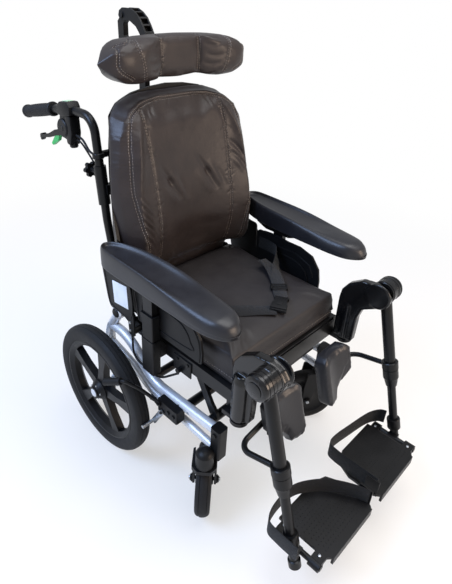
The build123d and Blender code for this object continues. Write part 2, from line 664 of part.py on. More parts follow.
# ================================================================ gas springs
tilt_rise = tilt_spring_seat_z - tilt_spring_base_z
tilt_run = tilt_spring_seat_y - tilt_spring_base_y
recline_rise = recline_spring_back_z - recline_spring_seat_z
recline_run = recline_spring_back_y - recline_spring_seat_y
springs = (
    ("tilt", tilt_spring_x, tilt_spring_base_y, tilt_spring_base_z, tilt_run, tilt_rise,
     tilt_spring_body, 82.0),
    ("recline", recline_spring_x, recline_spring_seat_y, recline_spring_seat_z, recline_run,
     recline_rise, recline_spring_body, 60.0),
)
for spring_name, spring_x, start_y, start_z, run, rise, body_length, inside in springs:
    spring = Plane(origin=base.from_local_coords((spring_x, start_y, start_z)),
                   x_dir=(1, 0, 0), z_dir=(0, run, rise))
    spring_length = hypot(run, rise)
    eye_half = spring_eye_width / 2
    with BuildPart() as cylinder:
        bar(spring, (-eye_half, 0, 0), (eye_half, 0, 0), spring_eye_dia)
        turned(spring, (0, 0, 0), (0, 0, 1),
               [(4, 0), (4, 7), (14, 7), (18, spring_body_dia / 2),
                (body_length - 5, spring_body_dia / 2), (body_length, 10),
                (body_length, spring_rod_dia / 2 + slide_gap),
                (body_length - inside - 4, spring_rod_dia / 2 + slide_gap),
                (body_length - inside - 4, 0)])
        bar(spring, (-eye_half - 1, 0, 0), (eye_half + 1, 0, 0),
            spring_pin_dia + 2 * running_gap, Mode.SUBTRACT)
    save(cylinder.part, f"{spring_name}_cylinder")

    rod_start = body_length - (inside if spring_name == "tilt" else 14.0)
    open_bore = spring_pin_dia + 2 * open_eye_gap
    with BuildPart() as rod:
        bar(spring, (0, 0, rod_start), (0, 0, spring_length - open_bore / 2 - 1),
            spring_rod_dia)
        bar(spring, (-eye_half, 0, spring_length), (eye_half, 0, spring_length),
            open_bore + 7)
        bar(spring, (-eye_half - 1, 0, spring_length), (eye_half + 1, 0, spring_length),
            open_bore, Mode.SUBTRACT)
    save(rod.part, f"{spring_name}_rod")

# ================================================================ back frame
plate_in, plate_out = hinge_plate_x - 8.5, hinge_plate_x - 0.5
sleeve = Plane(origin=base.from_local_coords((0, back_tube_y, sleeve_bottom_z)),
               x_dir=(1, 0, 0),
               z_dir=(0, sin(radians(back_tube_lean)), cos(radians(back_tube_lean))))
knob_height = sleeve_length - 16
knob_screw_dia = 8.0
knob_boss = 37.0          # boss end behind the sleeve's centre line
with BuildPart() as back_frame:
    for side, name in SIDES:
        side_sheet(base, plate_in, side,
                   [(-13, 492), (-4, 485), (9, 485), (52, 503), (54, 528), (40, 556),
                    (26, 560), (4, 520), (-13, 508)], plate_out - plate_in, 5)
        bar(base, (side * (plate_in - 1), recline_y, recline_z),
            (side * (plate_out + 1), recline_y, recline_z),
            recline_pin_dia + 2 * running_gap, Mode.SUBTRACT)
        bent_tube(base, [(side * back_tube_x, 18, 530),
                         (side * back_tube_x, back_tube_y - 5, sleeve_bottom_z - 44),
                         (side * back_tube_x, back_tube_y + 0.7, sleeve_bottom_z + 6)],
                  120, back_tube_dia)
        bar(sleeve, (side * back_tube_x, 0, 0), (side * back_tube_x, 0, sleeve_length),
            sleeve_dia)
        bar(sleeve, (side * back_tube_x, 10, knob_height),
            (side * back_tube_x, knob_boss, knob_height), 16)
    block(base, (-plate_out, plate_out), (38, 52), (504, 524))
    block(base, (-back_tube_x, back_tube_x), (33.2, 39), (590, 620))
    block(base, (-back_tube_x, back_tube_x), (42.6, 60), (770, 796))
    for side, name in SIDES:
        bar(sleeve, (side * back_tube_x, 0, 8), (side * back_tube_x, 0, sleeve_length + 1),
            handle_tube_dia + 2 * slide_gap, Mode.SUBTRACT)
        bar(sleeve, (side * back_tube_x, 18, knob_height),
            (side * back_tube_x, knob_boss + 1, knob_height),
            knob_screw_dia + 2 * running_gap, Mode.SUBTRACT)
    # receiver for the head support post
    block(base, (-18, 18), (56, 122), (770, 832))
    block(base, (-15, 15), (post_y - post_depth / 2 - 6, post_y + post_depth / 2 + 6),
          (770, 918), 4)
    block(base, (-post_width / 2 - slide_gap, post_width / 2 + slide_gap),
          (post_y - post_depth / 2 - slide_gap, post_y + post_depth / 2 + slide_gap),
          (780, 920), 0, Mode.SUBTRACT)
    for ear in (-spring_eye_width / 2 - 5.5, spring_eye_width / 2 + 1.5):
        sheet(side_plane(base, recline_spring_x + ear),
              [(36, 524), (36, 448), (recline_spring_back_y - 4, recline_spring_back_z + 14),
               (recline_spring_back_y - 12, recline_spring_back_z + 2),
               (recline_spring_back_y - 4, recline_spring_back_z - 11),
               (recline_spring_back_y + 8, recline_spring_back_z - 10), (52, 430), (52, 524)],
              4, 3)
    bar(base, (recline_spring_x - 12, recline_spring_back_y, recline_spring_back_z),
        (recline_spring_x + 12, recline_spring_back_y, recline_spring_back_z),
        spring_pin_dia)
save(back_frame.part, "back_frame")

# ================================================================ back shell
back = Plane(origin=base.from_local_coords((0, shell_front_y, shell_datum_z)),
             x_dir=(1, 0, 0), z_dir=(0, sin(radians(shell_lean)), cos(radians(shell_lean))))
wing_centre_y = shell_thickness - shell_wing_radius
inner_wing_radius = shell_wing_radius - shell_thickness
silhouette = mirrored_outline(
    [(0, 495), (60, 491), (110, 482), (160, 463), (192, 438), (214, 400), (232, 320),
     (240, 240), (243, 165), (240, 110), (234, 80), (226, 30), (214, 4), (188, -2),
     (188, -70), (176, -78), (0, -78)])


def wing_point(radius, reach):
    """A point on the wing's arc at a distance out from the middle."""
    rise = (radius ** 2 - (reach - shell_flat_half) ** 2) ** 0.5
    return (reach, wing_centre_y + rise)


def inset(outline, amount, top, bottom):
    """The silhouette pulled in at its sides, top and bottom."""
    return [(x - amount * (x > 1) + amount * (x < -1), min(max(y, bottom), top))
            for x, y in outline]


shell_half_width = 243.0
wing_tip_angle = asin((shell_half_width - shell_flat_half) / shell_wing_radius)
outer_tip = (shell_half_width, wing_centre_y + shell_wing_radius * cos(wing_tip_angle))
inner_tip = (shell_flat_half + inner_wing_radius * sin(wing_tip_angle),
             wing_centre_y + inner_wing_radius * cos(wing_tip_angle))
inner_mid = wing_point(inner_wing_radius, shell_flat_half + 66)
outer_mid = wing_point(shell_wing_radius, shell_flat_half + 70)
with BuildPart() as back_shell:
    with BuildSketch(level_plane(back, -90)) as shell_plan:
        with BuildLine():
            Line((-shell_flat_half, shell_thickness), (shell_flat_half, shell_thickness))
            ThreePointArc((shell_flat_half, shell_thickness), outer_mid, outer_tip)
            Line(outer_tip, inner_tip)
            ThreePointArc(inner_tip, inner_mid, (shell_flat_half, 0))
            Line((shell_flat_half, 0), (-shell_flat_half, 0))
            ThreePointArc((-shell_flat_half, 0), (-inner_mid[0], inner_mid[1]),
                          (-inner_tip[0], inner_tip[1]))
            Line((-inner_tip[0], inner_tip[1]), (-outer_tip[0], outer_tip[1]))
            ThreePointArc((-outer_tip[0], outer_tip[1]), (-outer_mid[0], outer_mid[1]),
                          (-shell_flat_half, shell_thickness))
        make_face()
    extrude(shell_plan.sketch, amount=600)
    sheet(front_plane(back, 40), silhouette, 200, 12, Mode.INTERSECT)
    side_sheet(back, -250, 1,
               [(-90, -90), (-90, 120), (-77, 170), (-30, 331), (-12, 406), (-6, 520),
                (20, 520), (20, -90)], 500, 0, Mode.INTERSECT)
save(back_shell.part, "back_shell")

cushion_skin = inner_wing_radius - seat_gap
cushion_half = shell_half_width - 11
cushion_reach = cushion_half - shell_flat_half
cushion_tip = (cushion_half,
               wing_centre_y + (cushion_skin ** 2 - cushion_reach ** 2) ** 0.5)
cushion_inner_mid = (shell_flat_half + 66,
                     wing_centre_y + (cushion_skin ** 2 - 66 ** 2) ** 0.5)
seam_x = 130.0
# height above the datum, then the depth at the middle, at the seams and at the border
cushion_depths = ((10, 54, 64, 76), (45, 76, 96, 107), (110, 88, 110, 117),
                  (180, 90, 112, 116), (250, 86, 104, 99), (320, 80, 92, 84),
                  (390, 70, 78, 66), (450, 56, 61, 46), (492, 38, 40, 26))
with BuildPart() as back_cushion:
    for height, middle_depth, seam_depth, border_depth in cushion_depths:
        with BuildSketch(level_plane(back, height)):
            with BuildLine():
                Line((-cushion_half, 10), (cushion_half, 10))
                Line((cushion_half, 10), (cushion_half, 16 - border_depth))
                ThreePointArc((cushion_half, 16 - border_depth),
                              (cushion_half - 6, 5 - border_depth),
                              (cushion_half - 20, -border_depth))
                Line((cushion_half - 20, -border_depth), (seam_x, -seam_depth))
                ThreePointArc((seam_x, -seam_depth), (0, -middle_depth),
                              (-seam_x, -seam_depth))
                Line((-seam_x, -seam_depth), (20 - cushion_half, -border_depth))
                ThreePointArc((20 - cushion_half, -border_depth),
                              (6 - cushion_half, 5 - border_depth),
                              (-cushion_half, 16 - border_depth))
                Line((-cushion_half, 16 - border_depth), (-cushion_half, 10))
            make_face()
    loft()
    # tongue behind the seat cushion
    block(back, (-cushion_half, cushion_half), (-38, 10), (-46, 12))
    with BuildSketch(level_plane(back, -60)) as cushion_plan:
        with BuildLine():
            Line((-shell_flat_half, -seat_gap), (shell_flat_half, -seat_gap))
            ThreePointArc((shell_flat_half, -seat_gap), cushion_inner_mid, cushion_tip)
            Polyline(cushion_tip, (cushion_half, -140), (-cushion_half, -140),
                     (-cushion_tip[0], cushion_tip[1]))
            ThreePointArc((-cushion_tip[0], cushion_tip[1]),
                          (-cushion_inner_mid[0], cushion_inner_mid[1]),
                          (-shell_flat_half, -seat_gap))
        make_face()
    extrude(cushion_plan.sketch, amount=560, mode=Mode.INTERSECT)
    sheet(front_plane(back, 0), inset(silhouette, 5, 488, -46), 200, 9, Mode.INTERSECT)
save(back_cushion.part, "back_cushion")

# ================================================================ push handles
handle_foot = 9.0         # along the sleeve, above its foot
sleeve_rise = tan(radians(back_tube_lean))
handle_route = [
    (back_tube_y + handle_foot * sin(radians(back_tube_lean)),
     sleeve_bottom_z + handle_foot * cos(radians(back_tube_lean))),
    (back_tube_y + (handle_top_z - sleeve_bottom_z) * sleeve_rise, handle_top_z),
    (200, handle_top_z + 1), (handle_end_y, 909.0)]
cable_ring_height = sleeve_length + 18
crossbar_z = 868.0
crossbar_y = back_tube_y + (crossbar_z - sleeve_bottom_z) * sleeve_rise
with BuildPart() as push_handles:
    for side, name in SIDES:
        bent_tube(base, [(side * back_tube_x, y, z) for y, z in handle_route], [45, 150],
                  handle_tube_dia)
        turned(sleeve, (side * back_tube_x, 0, cable_ring_height), (0, 0, 1),
               [(0, 0), (0, 13), (2, 15), (12, 15), (14, 13), (14, 0)])
    bar(base, (-back_tube_x, crossbar_y, crossbar_z), (back_tube_x, crossbar_y, crossbar_z),
        18)
save(push_handles.part, "push_handles")

grip_bore = handle_tube_dia / 2 + running_gap
grip_fall = atan2(handle_route[2][1] - handle_route[3][1],
                  handle_route[3][0] - handle_route[2][0])
grip_end_y = handle_route[3][0] + 7 * cos(grip_fall)
grip_end_z = handle_route[3][1] - 7 * sin(grip_fall)
with BuildPart() as push_grips:
    for side, name in SIDES:
        turned(base, (side * back_tube_x, grip_end_y, grip_end_z),
               (0, -cos(grip_fall), sin(grip_fall)),
               [(0, 0), (0, 15), (3, 18), (8, 18), (16, grip_dia / 2 - 1.5),
                (80, grip_dia / 2), (146, grip_dia / 2 - 1), (152, 19), (158, 19),
                (160, 16), (160, grip_bore), (6, grip_bore), (6, 0)])
save(push_grips.part, "push_grips")

lever_y, lever_z = 205.0, 887.0
lever_pin_dia = 6.0
with BuildPart() as lever_housings:
    for side, name in SIDES:
        side_sheet(base, back_tube_x - 15, side,
                   [(166, 972), (178, 980), (208, 974), (218, 955), (220, 905), (214, 880),
                    (198, 867), (180, 872), (166, 902), (163, 940)], 30, 5)
        bent_tube(base, [(side * back_tube_x, y, z) for y, z in handle_route], [45, 150],
                  handle_tube_dia + 2 * running_gap, Mode.SUBTRACT)
        block(base, (side * (back_tube_x - 8.5), side * (back_tube_x + 8.5)),
              (193, 240), (850, 908), 0, Mode.SUBTRACT)
        bar(base, (side * (back_tube_x - 14), lever_y, lever_z),
            (side * (back_tube_x + 14), lever_y, lever_z), lever_pin_dia)
save(lever_housings.part, "lever_housings")

for side, name in SIDES:
    with BuildPart() as hand_lever:
        side_sheet(base, back_tube_x - 7, side,
                   [(196, 888), (200, 896), (236, 897), (268, 889), (302, 872), (352, 857),
                    (354, 849), (300, 861), (262, 875), (236, 881), (206, 877), (198, 880)],
                   14, 2)
        bar(base, (side * (back_tube_x - 8), lever_y, lever_z),
            (side * (back_tube_x + 8), lever_y, lever_z),
            lever_pin_dia + 2 * running_gap, Mode.SUBTRACT)
        side_sheet(base, back_tube_x - 5, side,
                   [(244, 884), (270, 874), (294, 847), (288, 842), (256, 862)], 10, 1.5)
    save(hand_lever.part, f"hand_lever_{name}")

    with BuildPart() as star_knob:
        knob_y = knob_boss + seat_gap
        knob_plane = Plane(origin=sleeve.from_local_coords((side * back_tube_x, knob_y,
                                                            knob_height)),
                           x_dir=(1, 0, 0), z_dir=sleeve.y_dir)
        with BuildSketch(knob_plane):
            Circle(star_knob_dia / 2 - 5)
            with PolarLocations(star_knob_dia / 2 - 6, 6):
                Circle(6)
        extrude(amount=12)
        bar(sleeve, (side * back_tube_x, knob_y + 11, knob_height),
            (side * back_tube_x, knob_y + 17, knob_height), 20)
        bar(sleeve, (side * back_tube_x, knob_y - 15, knob_height),
            (side * back_tube_x, knob_y + 1, knob_height), knob_screw_dia)
    save(star_knob.part, f"star_knob_{name}")

cable_dia = 6.0
cable_end = sleeve.from_local_coords((0, 15 + seat_gap + cable_dia / 2,
                                      cable_ring_height + 7))
with BuildPart() as handle_cables:
    for side, name in SIDES:
        bent_tube(base, [(side * back_tube_x, 166.9, 896), (side * back_tube_x, 138, 892),
                         (side * back_tube_x, 112, 867),
                         (side * back_tube_x, cable_end.Y - rear_axle_y, cable_end.Z)],
                  [38, 30], cable_dia)
save(handle_cables.part, "handle_cables")

# ================================================================ head support
post_front, post_rear = post_y - post_depth / 2, post_y + post_depth / 2
column = [(post_front, 790), (post_rear, 790), (post_rear, 1012), (234, 1108),
          (235, 1154), (222, 1166), (head_bolt_y + 8, head_bolt_z + 12),
          (head_bolt_y - 8, head_bolt_z + 10), (head_bolt_y - 9, head_bolt_z - 9),
          (210, 1150), (210, 1120), (post_front, 1022)]
with BuildPart() as head_post:
    sheet(side_plane(base, -post_width / 2), column, post_width, 4)
    bar(base, (-post_width, head_bolt_y, head_bolt_z), (post_width, head_bolt_y, head_bolt_z),
        head_bolt_dia + 2 * running_gap, Mode.SUBTRACT)
save(head_post.part, "head_post")

arch_outside = [(221, 1168), (217, 1180), (204, 1187), (171, 1188), (152, 1181),
                (134, 1169), (121, 1153), (111, 1137), (98, 1112), (94, 1096)]
arch_inside = [(104, 1088), (114, 1094), (121, 1108), (132, 1130), (148, 1147),
               (174, 1159), (196, 1158), (212, 1156)]
with BuildPart() as head_arch:
    sheet(side_plane(base, -arch_width / 2), arch_outside + arch_inside, arch_width, 3)
    # open pockets between the ribs on the outer face
    for pocket in range(2, 8):
        (y1, z1), (y2, z2) = arch_outside[pocket], arch_outside[pocket + 1]
        run = hypot(y2 - y1, z2 - z1)
        along = ((y2 - y1) / run, (z2 - z1) / run)
        inward = (-along[1], along[0])
        first, last = 0.14 * run, 0.86 * run
        corners = [(y1 + along[0] * step + inward[0] * depth,
                    z1 + along[1] * step + inward[1] * depth)
                   for step, depth in ((first, -4), (last, -4), (last, 13), (first, 13))]
        sheet(side_plane(base, -arch_width / 2 + 5), corners, arch_width - 10, 0,
              Mode.SUBTRACT)
    # fork over the top of the post
    block(base, (-post_width / 2 - slide_gap, post_width / 2 + slide_gap),
          (186, 280), (1080, 1200), 0, Mode.SUBTRACT)
    bar(base, (-arch_width / 2 - 3, head_bolt_y, head_bolt_z),
        (arch_width / 2 + 3, head_bolt_y, head_bolt_z), head_bolt_dia)
    for bolt_x in (-arch_width / 2 - 4, arch_width / 2):
        bar(base, (bolt_x, head_bolt_y, head_bolt_z), (bolt_x + 4, head_bolt_y, head_bolt_z), 15)
    bar(base, (-arch_width / 2 - 8, head_pin_y, head_pin_z),
        (arch_width / 2 + 8, head_pin_y, head_pin_z), head_pin_dia)
save(head_arch.part, "head_arch")

pad_rear_y = 42.0
ear_in, ear_out = arch_width / 2 + moving_gap, arch_width / 2 + moving_gap + 5
with BuildPart() as head_bracket:
    block(base, (-48, 48), (pad_rear_y + seat_gap, pad_rear_y + 6), (1072, 1124))
    for side, name in SIDES:
        side_sheet(base, ear_in, side,
                   [(pad_rear_y + 3, 1078), (head_pin_y, 1086), (head_pin_y + 11, 1093),
                    (head_pin_y + 10, 1105), (head_pin_y, 1110), (pad_rear_y + 3, 1118)],
                   ear_out - ear_in, 4)
        bar(base, (side * (ear_in - 1), head_pin_y, head_pin_z),
            (side * (ear_out + 1), head_pin_y, head_pin_z),
            head_pin_dia + 2 * running_gap, Mode.SUBTRACT)
save(head_bracket.part, "head_bracket")

with BuildPart() as head_pad:
    sheet(front_plane(base, 90),
          mirrored_outline([(0, 1147), (115, 1144), (172, 1138), (210, 1126), (231, 1110),
                            (head_pad_half_width, 1096), (231, 1080), (211, 1064),
                            (176, 1053), (60, 1046), (0, 1043)]), 180, 10)
    with BuildSketch(level_plane(base, 1030)) as pad_plan:
        with BuildLine():
            rear = Line((-120, pad_rear_y), (120, pad_rear_y))
            tip = ThreePointArc(rear @ 1, (205, 34), (head_pad_half_width, 4))
            nose = ThreePointArc(tip @ 1, (214, -30), (150, -38))
            fall = ThreePointArc(nose @ 1, (100, -31), (bolster_inner_x, head_face_y))
            face = Line(fall @ 1, (-bolster_inner_x, head_face_y))
            climb = ThreePointArc(face @ 1, (-100, -31), (-150, -38))
            other = ThreePointArc(climb @ 1, (-214, -30), (-head_pad_half_width, 4))
            ThreePointArc(other @ 1, (-205, 34), rear @ 0)
        make_face()
    extrude(pad_plan.sketch, amount=130, mode=Mode.INTERSECT)
    with BuildSketch(side_plane(base, -250)) as pad_side:
        with BuildLine():
            front_bulge = ThreePointArc((0, 1040), (-42, 1094), (0, 1150))
            Polyline(front_bulge @ 1, (30, 1150), (pad_rear_y, 1132), (pad_rear_y, 1060),
                     (30, 1040), front_bulge @ 0)
        make_face()
    extrude(pad_side.sketch, amount=500, mode=Mode.INTERSECT)
save(head_pad.part, "head_pad")

# ================================================================ leg supports
leg = Plane(origin=base.from_local_coords((0, knee_y, knee_z)), x_dir=(1, 0, 0),
            z_dir=(0, sin(radians(leg_lean)), cos(radians(leg_lean))))
knee_pin_dia = 16.0
strap_routes = {
    "left": ([(243, -633), (205, -598), (120, -584), (30, -572), (21, -606), (21, -728)],
             [22, 90, 12, 20]),
    "right": ([(-262.4, -692), (-262.4, -592), (-130, -586), (-50, -662), (-21, -732)],
              [44, 60, 60]),
}
slider_bore = slider_dia + 2 * slide_gap
hinge_reach = -(knee_z - footplate_hinge_z) / cos(radians(leg_lean))
hinge_y = knee_y + hinge_reach * sin(radians(leg_lean))
for side, name in SIDES:
    with BuildPart() as leg_hanger:
        side_sheet(base, 203, side,
                   [(-437, 396.5), (-436, 520), (-440, 548), (-456, 573), (-491, 596),
                    (-531, 602), (-560, 592), (-576, 572), (-570, 548), (-542, 533),
                    (-508, 513), (-499, 481), (-497, 396.5)], barrel_inner_x - 204.5, 9)
        turned(base, (side * hanger_pivot_x, hanger_pivot_y, 396.5), (0, 0, 1),
               [(0, 0), (0, 22), (112, 22), (128, 16), (130, 0)])
        turned(base, (side * 197, knee_y, knee_z), (side, 0, 0),
               [(0, 0), (0, 33), (2, 36), (7, 36), (7, 0)])
        bar(base, (side * (barrel_inner_x - 3), knee_y, knee_z),
            (side * (barrel_outer_x - 12), knee_y, knee_z), knee_pin_dia)
        bar(base, (side * hanger_pivot_x, hanger_pivot_y, 395),
            (side * hanger_pivot_x, hanger_pivot_y, 473),
            hanger_pivot_dia + 2 * running_gap, Mode.SUBTRACT)
    save(leg_hanger.part, f"leg_hanger_{name}")

    with BuildPart() as leg_tube:
        turned(base, (side * barrel_inner_x, knee_y, knee_z), (side, 0, 0),
               [(0, 0), (0, barrel_radius - 2), (2, barrel_radius), (20, barrel_radius),
                (21, barrel_radius - 1), (24, barrel_radius - 1), (25, barrel_radius),
                (46, barrel_radius), (52, barrel_radius - 3), (56, barrel_radius - 10),
                (56, 0)])
        bar(leg, (side * leg_tube_x, 0, -20), (side * leg_tube_x, 0, leg_tube_end + 26),
            leg_tube_dia)
        turned(leg, (side * leg_tube_x, 0, leg_tube_end + 26), (0, 0, -1),
               [(0.3, 0), (0.3, 21), (26, 21), (30, 19), (52, 15), (52, 0)])
        bar(leg, (side * leg_tube_x, 0, -140), (side * leg_tube_x, 0, leg_tube_end - 30),
            slider_bore, Mode.SUBTRACT)
        bar(base, (side * (barrel_inner_x - 1), knee_y, knee_z),
            (side * (barrel_outer_x - 11), knee_y, knee_z),
            knee_pin_dia + 2 * running_gap, Mode.SUBTRACT)
    save(leg_tube.part, f"leg_tube_{name}")

    with BuildPart() as leg_slider:
        bar(leg, (side * leg_tube_x, 0, -150), (side * leg_tube_x, 0, slider_end), slider_dia)
        turned(leg, (side * leg_tube_x, 0, slider_end), (0, 0, 1),
               [(0, 0), (0, 12), (3, 15), (22, 15), (24, 11), (24, 0)])
        turned(leg, (side * leg_tube_x, 0, -425), (0, 0, 1),
               [(0, 0), (0, 17), (2, 18.2), (30, 18.2), (32, 17), (32, 0)])
        bar(base, (side * footplate_hinge_x, -738, footplate_hinge_z),
            (side * footplate_hinge_x, -612, footplate_hinge_z), footplate_hinge_dia)
        block(base, (side * (footplate_hinge_x - 6), side * (leg_tube_x + 1)),
              (hinge_y - 13, hinge_y + 13),
              (footplate_hinge_z - 9, footplate_hinge_z + 7))
    save(leg_slider.part, f"leg_slider_{name}")

    plate_bottom = footplate_hinge_z + 5
    plate_top = plate_bottom + footplate_thickness
    with BuildPart() as footplate:
        sheet(level_plane(base, plate_bottom),
              [(side * 207, -602), (side * 70, -602), (side * 32, -616), (side * 13, -658),
               (side * 13, -730), (side * 24, -744), (side * 196, -744), (side * 207, -734)],
              footplate_thickness)
        block(base, (side * 26, side * 194), (-748, -742), (plate_bottom - 18, plate_top))
        block(base, (side * 15.6, side * 19.1), (-736, -700), (plate_bottom, plate_top + 44))
        for knuckle in ((-736, -708), (-634, -612)):
            bar(base, (side * footplate_hinge_x, knuckle[0], footplate_hinge_z),
                (side * footplate_hinge_x, knuckle[1], footplate_hinge_z), 24)
            block(base, (side * 204, side * footplate_hinge_x), knuckle,
                  (footplate_hinge_z + 2, plate_top))
        bar(base, (side * footplate_hinge_x, -760, footplate_hinge_z),
            (side * footplate_hinge_x, -600, footplate_hinge_z),
            footplate_hinge_dia + 2 * running_gap, Mode.SUBTRACT)
    save(footplate.part, f"footplate_{name}")

    pad_rear = 110.0
    with BuildPart() as calf_arm:
        turned(leg, (side * leg_tube_x, 0, calf_ring_bottom), (0, 0, 1),
               [(0.3, leg_tube_dia / 2 + running_gap), (0.3, 20), (2, 22), (22, 22),
                (24, 20), (24, leg_tube_dia / 2 + running_gap)])
        bent_tube(leg, [(side * leg_tube_x, 20, -219), (side * 246, pad_rear + 11, -216),
                        (side * 146, pad_rear + 11, -204)], 34, 14)
        sheet(front_plane(leg, pad_rear + 7),
              [(side * 74, -246), (side * 152, -246), (side * 152, -170), (side * 74, -170)],
              7 - seat_gap, 8)
    save(calf_arm.part, f"calf_arm_{name}")

    with BuildPart() as calf_pad:
        sheet(front_plane(leg, pad_rear),
              [(side * 64, -128), (side * 154, -128), (side * 175, -148), (side * 175, -212),
               (side * 156, -226), (side * 128, -242), (side * 112, -264),
               (side * 104, -286), (side * 72, -286), (side * 48, -266), (side * 48, -144)],
              calf_pad_thickness, 9)
        bar(leg, (side * 111, pad_rear - 160, -60), (side * 111, pad_rear - 160, -320),
            2 * 132, Mode.SUBTRACT)
    save(calf_pad.part, f"calf_pad_{name}")

    with BuildPart() as heel_strap:
        strap(base, strap_routes[name][0], strap_routes[name][1],
              (plate_top + 1, plate_top + 49), 3)
    save(heel_strap.part, f"heel_strap_{name}")

# ================================================================ cables on the seat
with BuildPart() as control_cables:
    bent_tube(base, [(-243, -95, 425.5), (-243, -95, 350), (-243, -205, 346),
                     (-227, -262, 393)], [34, 70], 6)
save(control_cables.part, "control_cables")
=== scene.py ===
import json
from math import atan2, cos, pi, radians, sin
import bmesh
import bpy
import numpy as np
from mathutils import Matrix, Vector
from mathutils.bvhtree import BVHTree

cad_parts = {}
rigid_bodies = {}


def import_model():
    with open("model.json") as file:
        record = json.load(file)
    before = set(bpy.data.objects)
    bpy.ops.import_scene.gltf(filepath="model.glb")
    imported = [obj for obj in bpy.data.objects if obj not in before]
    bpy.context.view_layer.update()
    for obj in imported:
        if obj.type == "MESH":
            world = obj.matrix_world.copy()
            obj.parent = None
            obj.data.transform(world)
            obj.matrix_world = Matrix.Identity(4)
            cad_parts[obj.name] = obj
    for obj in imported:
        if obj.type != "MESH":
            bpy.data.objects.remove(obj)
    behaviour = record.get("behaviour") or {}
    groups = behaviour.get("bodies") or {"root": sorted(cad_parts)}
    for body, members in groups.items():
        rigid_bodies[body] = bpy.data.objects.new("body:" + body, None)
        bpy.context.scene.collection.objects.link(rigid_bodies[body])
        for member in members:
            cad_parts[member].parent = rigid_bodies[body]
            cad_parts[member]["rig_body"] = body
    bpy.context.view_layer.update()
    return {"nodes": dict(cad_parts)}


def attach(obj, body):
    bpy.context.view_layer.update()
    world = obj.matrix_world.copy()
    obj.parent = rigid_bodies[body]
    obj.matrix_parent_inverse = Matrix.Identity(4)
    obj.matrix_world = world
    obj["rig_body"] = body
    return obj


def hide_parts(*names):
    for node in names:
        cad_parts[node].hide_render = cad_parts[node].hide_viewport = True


# The looks of a tilt-in-space wheelchair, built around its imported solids.
# Places are written in millimetres from the rear axle line: (across to the seated
# person's left, behind the axle, height over the floor).

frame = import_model()
scene = bpy.context.scene
scene.view_settings.view_transform = "Standard"

AXLE_BEHIND_MIDDLE = 160.9
SIDES = ((1, "left"), (-1, "right"))
SHARP = radians(32)           # edges that turn more than this look sharp
WHEEL_X, WHEEL_RADIUS, WHEEL_BOLTS = 288, 200, 5
CASTOR_STEM, CASTOR_TRAIL, CASTOR_RADIUS = (262, -401), 45, 95
CASTOR_SWIVEL = radians(48.6)
HANDLE_X = 200                # middle of a push handle
KNEE = (227, -544, 575)       # middle of a leg support's knee barrel
BELT = 37, 1.8                # the webbing's width and thickness
COVER_X = 246                 # outer face of the rear side cover
TREAD_Z = 158                 # top of a footplate's tread


def at(x, y, z):
    """A place in metres from one in millimetres behind the rear axle line."""
    return Vector((x, y + AXLE_BEHIND_MIDDLE, z)) / 1000


# ---------------------------------------------------------------- camera
camera = bpy.data.objects.new("camera", bpy.data.cameras.new("camera"))
scene.collection.objects.link(camera)
scene.camera = camera
camera.location = (-0.85146, -0.80471, 1.26145)
camera.rotation_euler = (radians(60.40452), radians(-2.75796), radians(-45.72404))
camera.data.lens = 30.35876
camera.data.sensor_width = 36
camera.data.shift_x = 0.0071837
camera.data.shift_y = -0.0562674


# ---------------------------------------------------------------- finishes
def linear(text):
    """A hex colour as the linear numbers that shaders take."""
    channels = [int(text[i:i + 2], 16) / 255 for i in (1, 3, 5)]
    return [c / 12.92 if c <= 0.04045 else ((c + 0.055) / 1.055) ** 2.4
            for c in channels] + [1.0]


def add(tree, kind, inputs=(), **settings):
    """Adds one node; inputs are (socket, value or output socket of another node)."""
    node = tree.nodes.new(kind)
    for name, value in settings.items():
        setattr(node, name, value)
    for key, value in inputs:
        if isinstance(value, bpy.types.NodeSocket):
            tree.links.new(value, node.inputs[key])
        else:
            node.inputs[key].default_value = value
    return node


def finish(name, tones, patch, rough, relief=(), coordinates="Object", **sockets):
    """A finish: two tones in patches of so many mm, a range of roughness, and relief
    layers of (texture node, pattern size in mm, height in mm, settings)."""
    made = bpy.data.materials.new(name)
    made.use_nodes = True
    tree = made.node_tree
    tree.nodes.clear()
    place = add(tree, "ShaderNodeTexCoord").outputs[coordinates]
    cloud = add(tree, "ShaderNodeTexNoise", [("Vector", place), ("Scale", 1000 / patch),
                                             ("Detail", 5.0), ("Roughness", 0.6)])
    spread = add(tree, "ShaderNodeMapRange", [("Value", cloud.outputs[0]),
                                              ("From Min", 0.32), ("From Max", 0.68)])
    tone = add(tree, "ShaderNodeMix", [(0, spread.outputs[0]), (6, linear(tones[0])),
                                       (7, linear(tones[1]))], data_type="RGBA")
    dull = add(tree, "ShaderNodeMapRange", [("Value", cloud.outputs[0]),
                                            ("From Min", 0.3), ("From Max", 0.7),
                                            ("To Min", rough[0]), ("To Max", rough[1])])
    shader = add(tree, "ShaderNodeBsdfPrincipled", [("Base Color", tone.outputs[2]),
                                                    ("Roughness", dull.outputs[0])])
    normal = None
    for kind, size, height, settings in relief:
        texture = add(tree, kind, [("Vector", place), ("Scale", 1000 / size)], **settings)
        bump = add(tree, "ShaderNodeBump", [("Height", texture.outputs[0]),
                                            ("Distance", height / 1000)])
        if normal:
            tree.links.new(normal, bump.inputs["Normal"])
        normal = bump.outputs[0]
    if normal:
        tree.links.new(normal, shader.inputs["Normal"])
    for key, value in sockets.items():
        shader.inputs[key.replace("_", " ")].default_value = value
    add(tree, "ShaderNodeOutputMaterial", [("Surface", shader.outputs[0])])
    return made


NOISE, CELLS, BANDS = "ShaderNodeTexNoise", "ShaderNodeTexVoronoi", "ShaderNodeTexWave"

